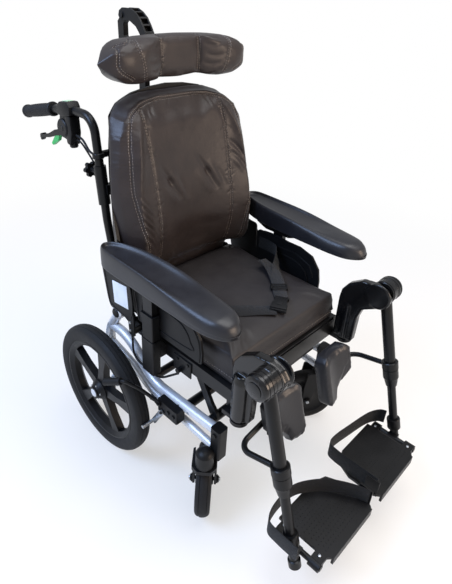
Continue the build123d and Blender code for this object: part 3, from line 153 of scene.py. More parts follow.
# coated upholstery: soft warm black with a pebbled grain; the real grain of about 1 mm is
# drawn at 2.2 mm so that it shows
leatherette = finish("leatherette_coated_pebbled", ("#2a2423", "#322b29"), 70, (0.34, 0.44),
                     [(CELLS, 2.2, 0.08, {"feature": "SMOOTH_F1"}), (NOISE, 16, 0.4, {})],
                     Specular_IOR_Level=0.3)
# stretch cover of the seat: flatter and finer than the upholstery
seat_cover = finish("polyurethane_stretch_cover", ("#242122", "#2a2727"), 90, (0.42, 0.52),
                    [(NOISE, 1.4, 0.08, {}), (NOISE, 45, 0.8, {})], Specular_IOR_Level=0.32)
# integral skin foam of the arm and calf pads: smooth and closed, with a faint orange peel
skin_foam = finish("polyurethane_skin_foam", ("#1a1a1e", "#212125"), 60, (0.34, 0.44),
                   [(NOISE, 2.0, 0.05, {}), (NOISE, 24, 0.2, {})], Specular_IOR_Level=0.42)
# silver powder coat: metal flakes under a satin clear coat
silver_paint = finish("silver_powder_coat", ("#ced1d6", "#dadce0"), 9, (0.34, 0.42),
                      [(NOISE, 1.2, 0.02, {})], Metallic=0.35, Coat_Weight=0.3,
                      Coat_Roughness=0.2)
# black powder coat: satin with a slight orange peel
black_paint = finish("black_powder_coat", ("#0d0d0e", "#121213"), 40, (0.28, 0.38),
                     [(NOISE, 1.6, 0.03, {})], Specular_IOR_Level=0.25)
# moulded ABS: spark-eroded grain, 0.8 mm drawn at 1.2 mm
moulded = finish("abs_moulded_grained", ("#0e0e0f", "#141415"), 55, (0.38, 0.5),
                 [(NOISE, 1.2, 0.05, {})], Specular_IOR_Level=0.22)
# glass-filled nylon of wheels and forks: flow marks show as soft patches
nylon = finish("nylon_glass_filled", ("#0f0f10", "#151517"), 35, (0.36, 0.48),
               [(NOISE, 1.4, 0.04, {})], Specular_IOR_Level=0.22)
# painted knee covers: deep gloss, clear coat over black
gloss = finish("black_gloss_enamel", ("#0a0a0b", "#0e0e0f"), 60, (0.2, 0.28), (),
               Specular_IOR_Level=0.3, Coat_Weight=0.25, Coat_Roughness=0.1)
# solid polyurethane tyre: dull, dusty in patches
tyre_rubber = finish("polyurethane_tyre", ("#161617", "#201f1f"), 22, (0.6, 0.75),
                     [(NOISE, 1.8, 0.08, {})], Specular_IOR_Level=0.25)
# synthetic rubber of the grips and cables
grip_rubber = finish("epdm_rubber_moulded", ("#121213", "#18181a"), 18, (0.5, 0.62),
                     [(NOISE, 1.0, 0.05, {})], Specular_IOR_Level=0.25)
# woven polyester webbing: ribs across the band; the 0.7 mm yarn is drawn at 2 mm
webbing = finish("polyester_webbing_woven", ("#101011", "#1a1a1b"), 6, (0.6, 0.75),
                 [(BANDS, 2.0, 0.20, {"bands_direction": "X"}),
                  (BANDS, 3.6, 0.14, {"bands_direction": "Y"})],
                 coordinates="UV", Specular_IOR_Level=0.2, Sheen_Weight=0.1)
# zinc-plated steel: cool grey with a satin scatter
zinc = finish("zinc_plated_steel", ("#a9adb2", "#c0c3c7"), 6, (0.26, 0.4),
              [(NOISE, 1.5, 0.02, {})], Metallic=1.0)
# hard chrome of the gas spring rods: close to a mirror
chrome = finish("hard_chrome", ("#d2d4d6", "#dddee0"), 20, (0.06, 0.1), (), Metallic=1.0)
# moulded green nylon of the lever catches: satin and even
green_nylon = finish("green_nylon_moulded", ("#17a04a", "#1fb257"), 12, (0.32, 0.42),
                     [(NOISE, 1.2, 0.04, {})])
# bare PVC plate: off-white, smooth, with a soft shine
bare_plate = finish("pvc_plate_bare", ("#d9dde0", "#e6e8ea"), 25, (0.3, 0.4),
                    [(NOISE, 3.0, 0.02, {})])
# bare vinyl label: pale green, thin and slightly uneven
bare_label = finish("vinyl_label_bare", ("#a9cfa4", "#b6d9b0"), 12, (0.34, 0.44),
                    [(NOISE, 3.0, 0.02, {})])
# polyester sewing thread, light against the cover
thread = finish("polyester_thread_twisted", ("#857b72", "#978d84"), 3, (0.6, 0.75),
                [(BANDS, 0.8, 0.08, {})])


# ---------------------------------------------------------------- making pieces
def piece(name, mesh, material, body):
    """Puts a finished mesh in the scene as a piece that rides on a body."""
    made = bpy.data.objects.new(name, mesh)
    scene.collection.objects.link(made)
    if not mesh.materials:
        mesh.materials.append(material)
    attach(made, body)
    return made


def applied(worked):
    """The object's evaluated mesh as a plain one; the object itself goes away."""
    evaluated = worked.evaluated_get(bpy.context.evaluated_depsgraph_get())
    mesh = bpy.data.meshes.new_from_object(evaluated)
    bpy.data.objects.remove(worked)
    return mesh


def soften(worked, passes, voxel=None):
    """Smooths an object's skin in so many passes, first evened out to voxels in mm."""
    if voxel:
        even = worked.modifiers.new("even", "REMESH")
        even.mode = "VOXEL"
        even.voxel_size = voxel / 1000
    smoothing = worked.modifiers.new("soften", "SMOOTH")
    smoothing.factor = 0.5
    smoothing.iterations = passes


def divide(worked):
    """Divides each face of an object once."""
    fine = worked.modifiers.new("fine", "SUBSURF")
    fine.levels = fine.render_levels = 1


def loose(name, mesh):
    """An object to work on, not yet a piece."""
    made = bpy.data.objects.new(name, mesh)
    scene.collection.objects.link(made)
    return made


def node_mesh(node, flat=0.6):
    """A merged copy of a CAD node's mesh, its flat faces joined up."""
    shape = bmesh.new()
    shape.from_mesh(frame["nodes"][node].data)
    bmesh.ops.remove_doubles(shape, verts=shape.verts, dist=1e-5)
    bmesh.ops.dissolve_limit(shape, angle_limit=radians(flat), verts=shape.verts,
                             edges=shape.edges)
    mesh = bpy.data.meshes.new(node)
    shape.to_mesh(mesh)
    shape.free()
    mesh.materials.clear()
    return mesh


def smooth(mesh):
    mesh.shade_smooth()
    mesh.set_sharp_from_angle(angle=SHARP)


def body_of_node(node):
    return frame["nodes"][node]["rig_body"]


def dress(node, material, edge, regions=(), corner=SHARP):
    """A copy of a rigid CAD node with eased edges and its finish, which stands for it.
    regions are (material, test of a face's middle in mm from the axle line), and edges
    that turn more than the corner angle are eased."""
    mesh = node_mesh(node)
    mesh.materials.append(material)
    for second, test in regions:
        mesh.materials.append(second)
    for face in mesh.polygons:
        middle = face.center * 1000
        for index, (second, test) in enumerate(regions, 1):
            if test(middle.x, middle.y - AXLE_BEHIND_MIDDLE, middle.z):
                face.material_index = index
    worked = loose(node + "_work", mesh)
    bevel = worked.modifiers.new("edges", "BEVEL")
    bevel.width = edge / 1000
    bevel.segments = 2
    bevel.limit_method = "ANGLE"
    bevel.angle_limit = corner
    bevel.use_clamp_overlap = True
    weighted = worked.modifiers.new("normals", "WEIGHTED_NORMAL")
    weighted.keep_sharp = True
    mesh.shade_smooth()
    made = applied(worked)
    smooth(made)
    shown = piece(node + "_shape", made, material, body_of_node(node))
    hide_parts(node)
    return shown


def moulded_round(node, material, voxel, passes):
    """A copy of a CAD node with its edges flowing into each other, as a moulding's do."""
    worked = loose(node + "_work", node_mesh(node))
    soften(worked, passes, voxel)
    made = applied(worked)
    made.materials.clear()
    made.shade_smooth()
    shown = piece(node + "_shape", made, material, body_of_node(node))
    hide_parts(node)
    return shown


def walls(shape, rings):
    """Faces between each ring of vertices and the next."""
    for first, second in zip(rings, rings[1:]):
        for i in range(len(first)):
            j = (i + 1) % len(first)
            shape.faces.new((first[i], first[j], second[j], second[i]))


def turned(centre, direction, profile, around=40, ring=False):
    """A turned mesh; profile points are (distance along, radius) in mm. A ring's profile
    closes on itself."""
    along = Vector(direction).normalized()
    turn = along.to_track_quat("Z", "Y").to_matrix()
    shape = bmesh.new()
    hoops = []
    for step, radius in profile:
        hoop = []
        for i in range(around):
            angle = 2 * pi * i / around
            spot = turn @ Vector((radius * cos(angle), radius * sin(angle), step))
            hoop.append(shape.verts.new(centre + spot / 1000))
        hoops.append(hoop)
    walls(shape, hoops + (hoops[:1] if ring else []))
    for hoop, (step, radius) in ((hoops[0], profile[0]), (hoops[-1], profile[-1])):
        if radius > 0 and not ring:
            shape.faces.new(hoop)
    bmesh.ops.remove_doubles(shape, verts=shape.verts, dist=1e-6)
    bmesh.ops.recalc_face_normals(shape, faces=shape.faces)
    return shape


def to_mesh(name, *shapes):
    """One mesh from one or more bmeshes."""
    whole = bmesh.new()
    for shape in shapes:
        part = bpy.data.meshes.new("part")
        shape.to_mesh(part)
        whole.from_mesh(part)
        shape.free()
        bpy.data.meshes.remove(part)
    mesh = bpy.data.meshes.new(name)
    whole.to_mesh(mesh)
    whole.free()
    smooth(mesh)
    return mesh


def moulding(name, body, *shapes):
    """A piece of moulded ABS from one or more bmeshes."""
    return piece(name, to_mesh(name, *shapes), moulded, body)


def slab(corners, normal, thickness, edge=0.5):
    """A flat plate from its corners, with eased edges; it grows along the normal."""
    shape = bmesh.new()
    face = shape.faces.new([shape.verts.new(corner) for corner in corners])
    face.normal_update()
    if face.normal.dot(normal) < 0:
        face.normal_flip()
    grown = bmesh.ops.extrude_face_region(shape, geom=[face])
    for vert in [g for g in grown["geom"] if isinstance(g, bmesh.types.BMVert)]:
        vert.co += Vector(normal) * thickness / 1000
    bmesh.ops.recalc_face_normals(shape, faces=shape.faces)
    if edge > 0:
        bmesh.ops.bevel(shape, geom=shape.edges, offset=edge / 1000, segments=2,
                        affect="EDGES", profile=0.6, clamp_overlap=True)
    return shape


def side_block(outline, inner, out_to, edge, side=1):
    """A block seen from the side: (behind axle, height) points between two widths."""
    return slab([at(side * inner, y, z) for y, z in outline], (side, 0, 0), out_to - inner,
                edge)


def smooth_line(points, per_run=8, closed=False):
    """Points of a Catmull-Rom line through the given ones."""
    ring = [Vector(p) for p in points]
    ends = (ring[-1:], ring[:2]) if closed else ([2 * ring[0] - ring[1]],
                                                 [2 * ring[-1] - ring[-2]])
    held = ends[0] + ring + ends[1]
    line = []
    for a, b, c, d in zip(held, held[1:], held[2:], held[3:]):
        for i in range(per_run):
            t = i / per_run
            line.append(0.5 * (2 * b + (c - a) * t + (2 * a - 5 * b + 4 * c - d) * t ** 2
                               + (3 * b - a - 3 * c + d) * t ** 3))
    return line if closed else line + [ring[-1]]


def band(line, acrosses, section, closed=False):
    """A mesh swept along a line. section holds (along across, along normal) in mm; its
    UV map runs in metres along and round the band."""
    shape = bmesh.new()
    uv = shape.loops.layers.uv.new("run")
    count = len(line)
    rings, runs = [], [0.0]
    for i, spot in enumerate(line):
        before, after = line[i - 1], line[(i + 1) % count]
        if not closed:
            before, after = line[max(i - 1, 0)], line[min(i + 1, count - 1)]
        tangent = (after - before).normalized()
        across = acrosses[i] - tangent * acrosses[i].dot(tangent)
        across.normalize()
        normal = tangent.cross(across)
        rings.append([shape.verts.new(spot + (across * a + normal * n) / 1000)
                      for a, n in section])
        runs.append(runs[-1] + (line[(i + 1) % count] - spot).length)
    sides = len(section)
    girth = [0.0]
    for (a, b), (c, d) in zip(section, section[1:] + section[:1]):
        girth.append(girth[-1] + ((a - c) ** 2 + (b - d) ** 2) ** 0.5 / 1000)
    for i in range(count if closed else count - 1):
        first, second = rings[i], rings[(i + 1) % count]
        for j in range(sides):
            k = (j + 1) % sides
            face = shape.faces.new((first[j], first[k], second[k], second[j]))
            for loop, (run, turn) in zip(face.loops, ((i, j), (i, j + 1), (i + 1, j + 1),
                                                      (i + 1, j))):
                loop[uv].uv = (runs[run], girth[turn])
    if not closed:
        shape.faces.new(rings[0])
        shape.faces.new(rings[-1])
    bmesh.ops.recalc_face_normals(shape, faces=shape.faces)
    return shape


def round_section(radius, sides):
    return [(radius * cos(2 * pi * i / sides), radius * sin(2 * pi * i / sides))
            for i in range(sides)]


def rod(points, radius, closed=False, per_run=6, sides=8):
    """A rib or cable, round in section, through points in metres."""
    line = smooth_line(points, per_run, closed)
    return band(line, [Vector((1, 0, 0))] * len(line), round_section(radius, sides), closed)


def flat_section(width, thickness):
    """A webbing's section with soft edges."""
    w, t = width / 2, thickness / 2
    return [(-w, -t * 0.4), (-w + t, -t), (w - t, -t), (w, -t * 0.4), (w, t * 0.4),
            (w - t, t), (-w + t, t), (-w, t * 0.4)]


# ---------------------------------------------------------------- repeats
def node_group(name, sockets):
    """A geometry tree with named inputs, which are (name, socket kind)."""
    tree = bpy.data.node_groups.new(name, "GeometryNodeTree")
    for title, kind in [("Geometry", "NodeSocketGeometry")] + sockets:
        tree.interface.new_socket(title, in_out="INPUT", socket_type=kind)
    tree.interface.new_socket("Geometry", in_out="OUTPUT",
                              socket_type="NodeSocketGeometry")
    return tree


def end_tree(tree, instances, given):
    """Makes a tree's instances real, gives them their finish and hands them over."""
    real = add(tree, "GeometryNodeRealizeInstances", [(0, instances.outputs[0])])
    coloured = add(tree, "GeometryNodeSetMaterial",
                   [("Geometry", real.outputs[0]), ("Material", given.outputs["Finish"])])
    add(tree, "NodeGroupOutput", [(0, coloured.outputs[0])])


# stitches along a seam line, one small ball drawn out to a stitch at each pitch
stitch_tree = node_group("sewn_stitches", [("Pitch", "NodeSocketFloat"),
                                           ("Length", "NodeSocketFloat"),
                                           ("Thread", "NodeSocketFloat"),
                                           ("Finish", "NodeSocketMaterial")])
given = add(stitch_tree, "NodeGroupInput")
seam_line = add(stitch_tree, "GeometryNodeMeshToCurve", [("Mesh", given.outputs["Geometry"])])
holes = add(stitch_tree, "GeometryNodeCurveToPoints",
            [("Curve", seam_line.outputs[0]), ("Length", given.outputs["Pitch"])],
            mode="LENGTH")
ball = add(stitch_tree, "GeometryNodeMeshUVSphere", [("Segments", 6), ("Rings", 4),
                                                     ("Radius", 0.5)])
size = add(stitch_tree, "ShaderNodeCombineXYZ", [(0, given.outputs["Thread"]),
                                                 (1, given.outputs["Thread"]),
                                                 (2, given.outputs["Length"])])
turn = add(stitch_tree, "FunctionNodeAlignRotationToVector",
           [("Vector", holes.outputs["Tangent"])], axis="Z")
sewn = add(stitch_tree, "GeometryNodeInstanceOnPoints",
           [("Points", holes.outputs[0]), ("Instance", ball.outputs[0]),
            ("Rotation", turn.outputs[0]), ("Scale", size.outputs[0])])
end_tree(stitch_tree, sewn, given)

# heads or studs set on points; each point's "facing" says which way it looks
fixing_tree = node_group("fixings_on_points", [("Head", "NodeSocketObject"),
                                               ("Scale", "NodeSocketFloat"),
                                               ("Finish", "NodeSocketMaterial")])
given = add(fixing_tree, "NodeGroupInput")
head = add(fixing_tree, "GeometryNodeObjectInfo", [("Object", given.outputs["Head"])])
facing = add(fixing_tree, "GeometryNodeInputNamedAttribute", [("Name", "facing")],
             data_type="FLOAT_VECTOR")
turn = add(fixing_tree, "FunctionNodeAlignRotationToVector",
           [("Vector", facing.outputs[0])], axis="Z")
spots = add(fixing_tree, "GeometryNodeMeshToPoints", [("Mesh", given.outputs["Geometry"])])
placed = add(fixing_tree, "GeometryNodeInstanceOnPoints",
             [("Points", spots.outputs[0]), ("Instance", head.outputs["Geometry"]),
              ("Rotation", turn.outputs[0]), ("Scale", given.outputs["Scale"])])
end_tree(fixing_tree, placed, given)


def grown(name, mesh, tree, inputs):
    """The mesh that a geometry tree makes from this one, with its inputs by name."""
    worked = loose(name + "_work", mesh)
    modifier = worked.modifiers.new("repeat", "NODES")
    modifier.node_group = tree
    for item in tree.interface.items_tree:
        if item.in_out == "INPUT" and item.name in inputs:
            modifier[item.identifier] = inputs[item.name]
    return applied(worked)


def stitches(name, lines, body, pitch=7.0, length=4.4, width=1.2):
    """Topstitching along lines; thread of 0.6 mm is drawn heavier so that it shows."""
    points, edges = [], []
    for line in lines:
        start = len(points)
        points += [tuple(p) for p in line]
        edges += [(i, i + 1) for i in range(start, len(points) - 1)]
    mesh = bpy.data.meshes.new(name)
    mesh.from_pydata(points, edges, [])
    made = grown(name, mesh, stitch_tree, {"Pitch": pitch / 1000, "Length": length / 1000,
                                           "Thread": width / 1000, "Finish": thread})
    return piece(name, made, thread, body)


def fixings(name, places, head_shape, finish_used, body, scale=1.0):
    """The same small head at several (place in mm, direction it faces)."""
    mesh = bpy.data.meshes.new(name)
    mesh.from_pydata([tuple(at(*spot)) for spot, way in places], [], [])
    layer = mesh.attributes.new("facing", "FLOAT_VECTOR", "POINT")
    for index, (spot, way) in enumerate(places):
        layer.data[index].vector = way
    made = grown(name, mesh, fixing_tree, {"Head": head_shape, "Scale": scale,
                                           "Finish": finish_used})
    smooth(made)
    return piece(name, made, finish_used, body)


def button_head():
    """A round-headed screw of 10 mm with a socket."""
    return turned(Vector(), (0, 0, 1), [(-0.5, 5), (1.2, 5), (2.6, 4.3), (3.2, 3.1),
                                        (3.2, 2.0), (1.2, 1.8)], 18)


def stud():
    """A low round stud, 2.4 mm across."""
    return turned(Vector(), (0, 0, 1), [(-0.3, 1.2), (0.5, 1.1), (0.9, 0.6)], 8)


screw_head = loose("screw_head", to_mesh("screw_head", button_head()))
grip_stud = loose("grip_stud", to_mesh("grip_stud", stud()))


# ---------------------------------------------------------------- padded pieces
def arrays(mesh):
    """Places and normals of a mesh's vertices as arrays."""
    places = np.empty(len(mesh.vertices) * 3)
    normals = np.empty(len(mesh.vertices) * 3)
    mesh.vertices.foreach_get("co", places)
    mesh.vertex_normals.foreach_get("vector", normals)
    return places.reshape(-1, 3), normals.reshape(-1, 3)


def put(mesh, places):
    mesh.vertices.foreach_set("co", places.ravel())
    mesh.update()


def surface(mesh):
    """A search tree over a finished mesh."""
    return BVHTree.FromPolygons([v.co for v in mesh.vertices],
                                [p.vertices for p in mesh.polygons])


SWELLING_FRAMES = 20


class Pad:
    """A stuffed piece between its start, its swelling under cloth and its finish."""

    def __init__(self, node, voxel, start_in, cap, rests, softer=4):
        self.node, self.cap = node, cap
        worked = loose(node + "_skin", node_mesh(node))
        soften(worked, softer, voxel)
        mesh = applied(worked)
        places, normals = arrays(mesh)
        self.held = rests(places * 1000 - (0, AXLE_BEHIND_MIDDLE, 0), normals)
        places -= normals * start_in / 1000 * ~self.held[:, None]
        put(mesh, places)
        self.start = places
        self.object = loose(node + "_swelling", mesh)

    def fill(self):
        """Sets the cloth that blows the skin up, held where it rests on something."""
        group = self.object.vertex_groups.new(name="rests")
        group.add([int(i) for i in np.flatnonzero(self.held)], 1.0, "REPLACE")
        cloth = self.object.modifiers.new("cloth", "CLOTH")
        cloth.settings.quality = 4
        cloth.settings.mass = 0.3
        cloth.settings.tension_stiffness = 12
        cloth.settings.compression_stiffness = 12
        cloth.settings.bending_stiffness = 0.6
        cloth.settings.use_pressure = True
        cloth.settings.uniform_pressure_force = 4
        cloth.settings.effector_weights.gravity = 0
        cloth.settings.vertex_group_mass = "rests"
        cloth.point_cache.frame_start = 1
        cloth.point_cache.frame_end = SWELLING_FRAMES

    def shape(self):
        """The swollen skin, moved no farther than its cap, and divided once."""
        mesh = applied(self.object)
        places = arrays(mesh)[0]
        moved = places - self.start
        reach = np.linalg.norm(moved, axis=1, keepdims=True) + 1e-9
        put(mesh, self.start + moved * np.minimum(1, self.cap / 1000 / reach))
        worked = loose(self.node + "_fine", mesh)
        divide(worked)
        mesh = applied(worked)
        mesh.materials.clear()
        mesh.shade_smooth()
        return mesh


def reshape(mesh, rule, passes):
    """Moves a skin by a rule on its places in mm from the axle line, and evens it out."""
    offset = np.array((0, AXLE_BEHIND_MIDDLE, 0))
    put(mesh, (rule(arrays(mesh)[0] * 1000 - offset) + offset) / 1000)
    worked = loose("even_work", mesh)
    soften(worked, passes)
    return applied(worked)


def press(mesh, strokes):
    """Draws the skin in along strokes of (places, half width in mm, depth in mm, whether
    it fades at its ends); a negative depth raises a ridge."""
    places, normals = arrays(mesh)
    moved = np.zeros(len(places))
    for line, width, depth, fades in strokes:
        spots = np.array([tuple(p) for p in line])
        low, high = spots.min(0) - width / 250, spots.max(0) + width / 250
        near = np.flatnonzero(((places > low) & (places < high)).all(1))
        if len(near) == 0:
            continue
        close = places[near]
        best, along = np.full(len(near), 9.0), np.zeros(len(near))
        count = max(len(spots) - 1, 1)
        for i in range(count):
            a, b = spots[i], spots[min(i + 1, len(spots) - 1)]
            run = b - a
            t = np.clip(((close - a) @ run) / max(run @ run, 1e-12), 0, 1)
            away = np.linalg.norm(close - a - t[:, None] * run, axis=1)
            nearer = away < best
            best[nearer], along[nearer] = away[nearer], ((i + t) / count)[nearer]
        fall = np.exp(-(best * 1000 / width) ** 2) * depth / 1000
        if fades:
            fall *= np.sin(pi * np.clip(along, 0.02, 0.98)) ** 0.8
        moved[near] += fall
    put(mesh, places - normals * moved[:, None])


def from_front(tree, points, bend=4):
    """A smooth line on a surface through (x, z) points seen from the front."""
    line = smooth_line([(x, 0, z) for x, z in points], bend)
    hits = [tree.ray_cast(at(p.x, -900, p.z), (0, 1, 0))[0] for p in line]
    return [hit for hit in hits if hit]


def mirrored(points):
    return [(-x, z) for x, z in points]


def folds(tree, spots, shapes):
    """The same strokes round each (x, z) spot; shapes are (points counted from the spot,
    half width in mm, depth in mm, whether it fades at its ends)."""
    return [(from_front(tree, [(x + a, z + b) for a, b in points]), width, depth, fades)
            for x, z in spots for points, width, depth, fades in shapes]


def rows(tree, line, offsets, lift=0.2):
    """Lines beside a seam, on the surface, each so many mm to one side of it."""
    made = []
    for offset in offsets:
        row = []
        for i, spot in enumerate(line):
            tangent = line[min(i + 1, len(line) - 1)] - line[max(i - 1, 0)]
            normal = tree.find_nearest(spot)[1]
            side = normal.cross(tangent).normalized()
            place, normal = tree.find_nearest(spot + side * offset / 1000)[:2]
            row.append(place + normal * lift / 1000)
        made.append(row)
    return made


# each pad's voxel, start and cap in mm, and which vertices rest, by place and normal
pads = {
    "seat_cushion": Pad("seat_cushion", 6, 4, 8, lambda p, n: (
        (n[:, 2] < -0.6) | ((n[:, 1] > 0.6) & (p[:, 1] > -40)))),
    "back_cushion": Pad("back_cushion", 6, 5, 9, lambda p, n: (
        (n[:, 1] > 0.25) | (p[:, 2] < 540))),
    "head_pad": Pad("head_pad", 4.5, 3, 7, lambda p, n: (
        (n[:, 1] > 0.7) & (abs(p[:, 0]) < 125)), 9),
}
for side, name in SIDES:
    pads[f"calf_pad_{name}"] = Pad(f"calf_pad_{name}", 4.5, 2, 4,
                                   lambda p, n: n[:, 1] > 0.6, 10)
for pad in pads.values():
    pad.fill()
for step in range(1, SWELLING_FRAMES + 1):
    scene.frame_set(step)
skins = {node: pad.shape() for node, pad in pads.items()}
scene.frame_set(1)


def upholster(node, material):
    """The finished pad as a piece that stands for its CAD node."""
    shown = piece(node + "_upholstery", skins[node], material, body_of_node(node))
    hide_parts(node)
    return shown


chance = np.random.default_rng(7)


def gathers(tree, line, pitch, length, depth, one_side=0):
    """Small puckers across a seam, uneven, as thread draws a soft cover in."""
    strokes = []
    step = 0.0
    for a, b in zip(line, line[1:]):
        step += (b - a).length * 1000
        if step < pitch:
            continue
        step = chance.uniform(-0.4, 0.3) * pitch
        normal = tree.find_nearest(a)[1]
        side = normal.cross(b - a).normalized()
        slant = (b - a).normalized() * chance.uniform(-0.5, 0.5)
        reach = length * chance.uniform(0.5, 1.1)
        for way in ((-1, 1) if one_side == 0 else (one_side,)):
            start = a + side * way * 0.003
            end = a + (side * way + slant) * reach / 1000
            strokes.append(([start, end], 2.6, depth * chance.uniform(0.5, 1.2), False))
    return strokes


def square_shoulders(p):
    """The stuffed back stands out at its top corners and along its sides."""
    corner_x, corner_z, spread = 150, 985, 46
    away = (abs(p[:, 0]) - corner_x) ** 2 + (p[:, 2] - corner_z) ** 2
    near = np.exp(-away / (2 * spread ** 2))
    sides = (np.clip((p[:, 2] - 600) / 120, 0, 1)
             * np.clip((abs(p[:, 0]) - corner_x) / 80, 0, 1))
    way = np.sign(p[:, 0])
    return p + np.stack([way * (near * 10 + sides * 5), near * 0, near * 6], 1)


# the crest of the back's wings: (height, from the middle, behind the axle), and how far
# behind the axle the shell's rim stands at that height
WING_CREST = ((560, 196, -96, -60), (640, 193, -104, -55), (700, 192, -105, -50),
              (750, 190, -96, -44), (800, 187, -84, -34), (845, 180, -78, -28),
              (890, 172, -71, -25), (930, 160, -55, -23), (965, 143, -34, -24),
              (990, 130, -12, -24), (1020, 120, 0, -24))


def flared_wings(p):
    """The wings rise to a crest beside each wing seam and slope back to the shell."""
    flat, rear = 128, 10      # half the flat middle's width, and the skin's rear face
    heights, across, ahead, rim = (np.array(v) for v in zip(*WING_CREST))
    width, z = abs(p[:, 0]), p[:, 2]
    crest_x, crest_y = np.interp(z, heights, across), np.interp(z, heights, ahead)
    bins = np.clip((z / 10).astype(int), 0, 199)
    widest = np.zeros(200)
    np.maximum.at(widest, bins, width)
    edge = np.maximum(widest[bins], crest_x + 12)
    out = np.clip((width - crest_x) / (edge - crest_x), 0, 1)
    front = np.array([
        (back_tree.ray_cast(at(way * min(w, e - 9), -900, h), (0, 1, 0))[0]
         or at(0, 0, 0)).y * 1000 - AXLE_BEHIND_MIDDLE
        for way, w, e, h in zip(np.sign(p[:, 0]), width, edge, z)])
    slope = crest_y + (np.interp(z, heights, rim) - crest_y) * out ** 1.1
    rise = np.clip((width - flat) / (crest_x - flat + 1e-6), 0, 1)
    inner = front + (crest_y - front) * rise ** 1.5
    wanted = np.where(width > crest_x, slope, inner)
    ease = (np.clip((width - flat) / 6, 0, 1) * np.clip((z - 545) / 60, 0, 1)
            * np.clip((1012 - z) / 24, 0, 1))
    share = np.clip((rear - p[:, 1]) / np.maximum(rear - front, 20), 0, 1)
    moved = p.copy()
    moved[:, 1] += (wanted - front) * ease * share
    return moved


def domed_ends(p):
    """The head pad's ends fill out and close in domes, each section round its middle."""
    fuller_from, dome_from = 70, 146
    past_tip = 2              # the dome would close this far past the pad's end
    width = abs(p[:, 0])
    end = width.max()
    steps = np.arange(fuller_from, end - 4, 10)
    middles = []
    for step in steps:
        section = p[abs(width - step) < 6]
        middles.append((section.min(0) + section.max(0)) / 2)
    middle = np.stack([np.interp(width, steps, places) for places in zip(*middles)], 1)
    fuller = np.clip((width - fuller_from) / 60, 0, 1)
    closing = np.clip((width - dome_from) / (end + past_tip - dome_from), 0, 0.985)
    draw = np.sqrt(1 - closing ** 2.3) * (1 + 0.1 * fuller)
    return np.stack([p[:, 0], middle[:, 1] + (p[:, 1] - middle[:, 1]) * draw,
                     middle[:, 2] - 5 * fuller + (p[:, 2] - middle[:, 2]) * draw], 1)


# the back cushion: two wing seams, a border seam round the front and two tufts
back_skin = reshape(skins["back_cushion"], square_shoulders, 30)
back_tree = surface(back_skin)
back_skin = skins["back_cushion"] = reshape(back_skin, flared_wings, 8)
back_tree = surface(back_skin)
wing_seam = [(130, 984), (131, 960), (131, 900), (130, 840), (130, 760), (130, 680),
             (130, 600), (131, 546)]
border_half = [(0, 1001), (57, 1001), (98, 998), (120, 993), (144, 987), (155, 982),
               (164, 976), (171, 966), (179, 946), (187, 919), (192, 891), (196, 865),
               (199, 837), (201, 807), (200, 788), (199, 767), (197, 743), (194, 718),
               (187, 690), (181, 660), (177, 620), (175, 566)]
wing_lines = [from_front(back_tree, wing_seam), from_front(back_tree, mirrored(wing_seam))]
border_line = from_front(back_tree, list(reversed(border_half)) + mirrored(border_half[1:]),
                         6)
back_strokes = [(line, 3.0, 3.0, False) for line in wing_lines + [border_line]]
for line in wing_lines:
    back_strokes += gathers(back_tree, line, 16, 16, 0.8)
back_strokes += gathers(back_tree, border_line, 17, 18, 0.7)
top_border = [p for p in border_line if p.z > 0.972]
back_strokes += gathers(back_tree, top_border, 9, 13, 0.5, -1)
# a puckered tuft, its long fold and the swellings beside it
back_strokes += folds(back_tree, ((-74, 806), (58, 806)), [
    ([(-2, 3), (2, -3)], 7, 2.6, False),
    ([(-34, 52), (-12, 20), (0, 0), (14, -24), (34, -58)], 7, 4.6, True),
    ([(4, 34), (20, -4), (42, -46)], 10, -2.4, True),
    ([(-42, 16), (-20, -20), (6, -66)], 11, -2.0, True),
    ([(28, 8), (44, -20), (62, -62)], 8, 1.8, True)])
# tension folds that run down from the wing's crest to its seam
for z, depth in ((806, 3.0), (786, 4.6), (768, 6.0), (748, 6.0), (728, 4.4), (704, 3.0)):
    back_strokes += folds(back_tree, [(0, z)], [
        ([(-193, 0), (-178, -18), (-158, -44), (-141, -76)], 3.8, depth, True),
        ([(-190, -11), (-176, -29), (-157, -56)], 4.5, -1.6, True)])
for x, z, depth in ((168, 856, 4.2), (172, 826, 3.0)):
    back_strokes += folds(back_tree, [(x, z)], [
        ([(-34, 26), (-12, 8), (10, -22), (22, -44)], 6, depth, True),
        ([(-34, 8), (-12, -12), (6, -40)], 8, -2.6, True)])
# short folds under the top corners
for way in (-1, 1):
    for x, z, run in ((104, 990, 34), (114, 984, 46), (90, 992, 24), (122, 968, 40)):
        back_strokes += folds(back_tree, [(way * x, z)], [
            ([(0, 0), (way * 6, -run / 2), (way * 8, -run)], 4, 1.9, True)])
# shallow sags across the small of the back
back_strokes += folds(back_tree, ((-60, 640), (20, 610), (70, 655)), [
    ([(-50, 14), (0, 0), (56, 12)], 16, 1.8, True)])
press(back_skin, back_strokes)
upholster("back_cushion", leatherette)
back_tree = surface(back_skin)
sewn_rows = []
for line in wing_lines + [border_line]:
    sewn_rows += rows(back_tree, line, (-3.6, 3.6))
stitches("back_cushion_topstitching", sewn_rows, "back")

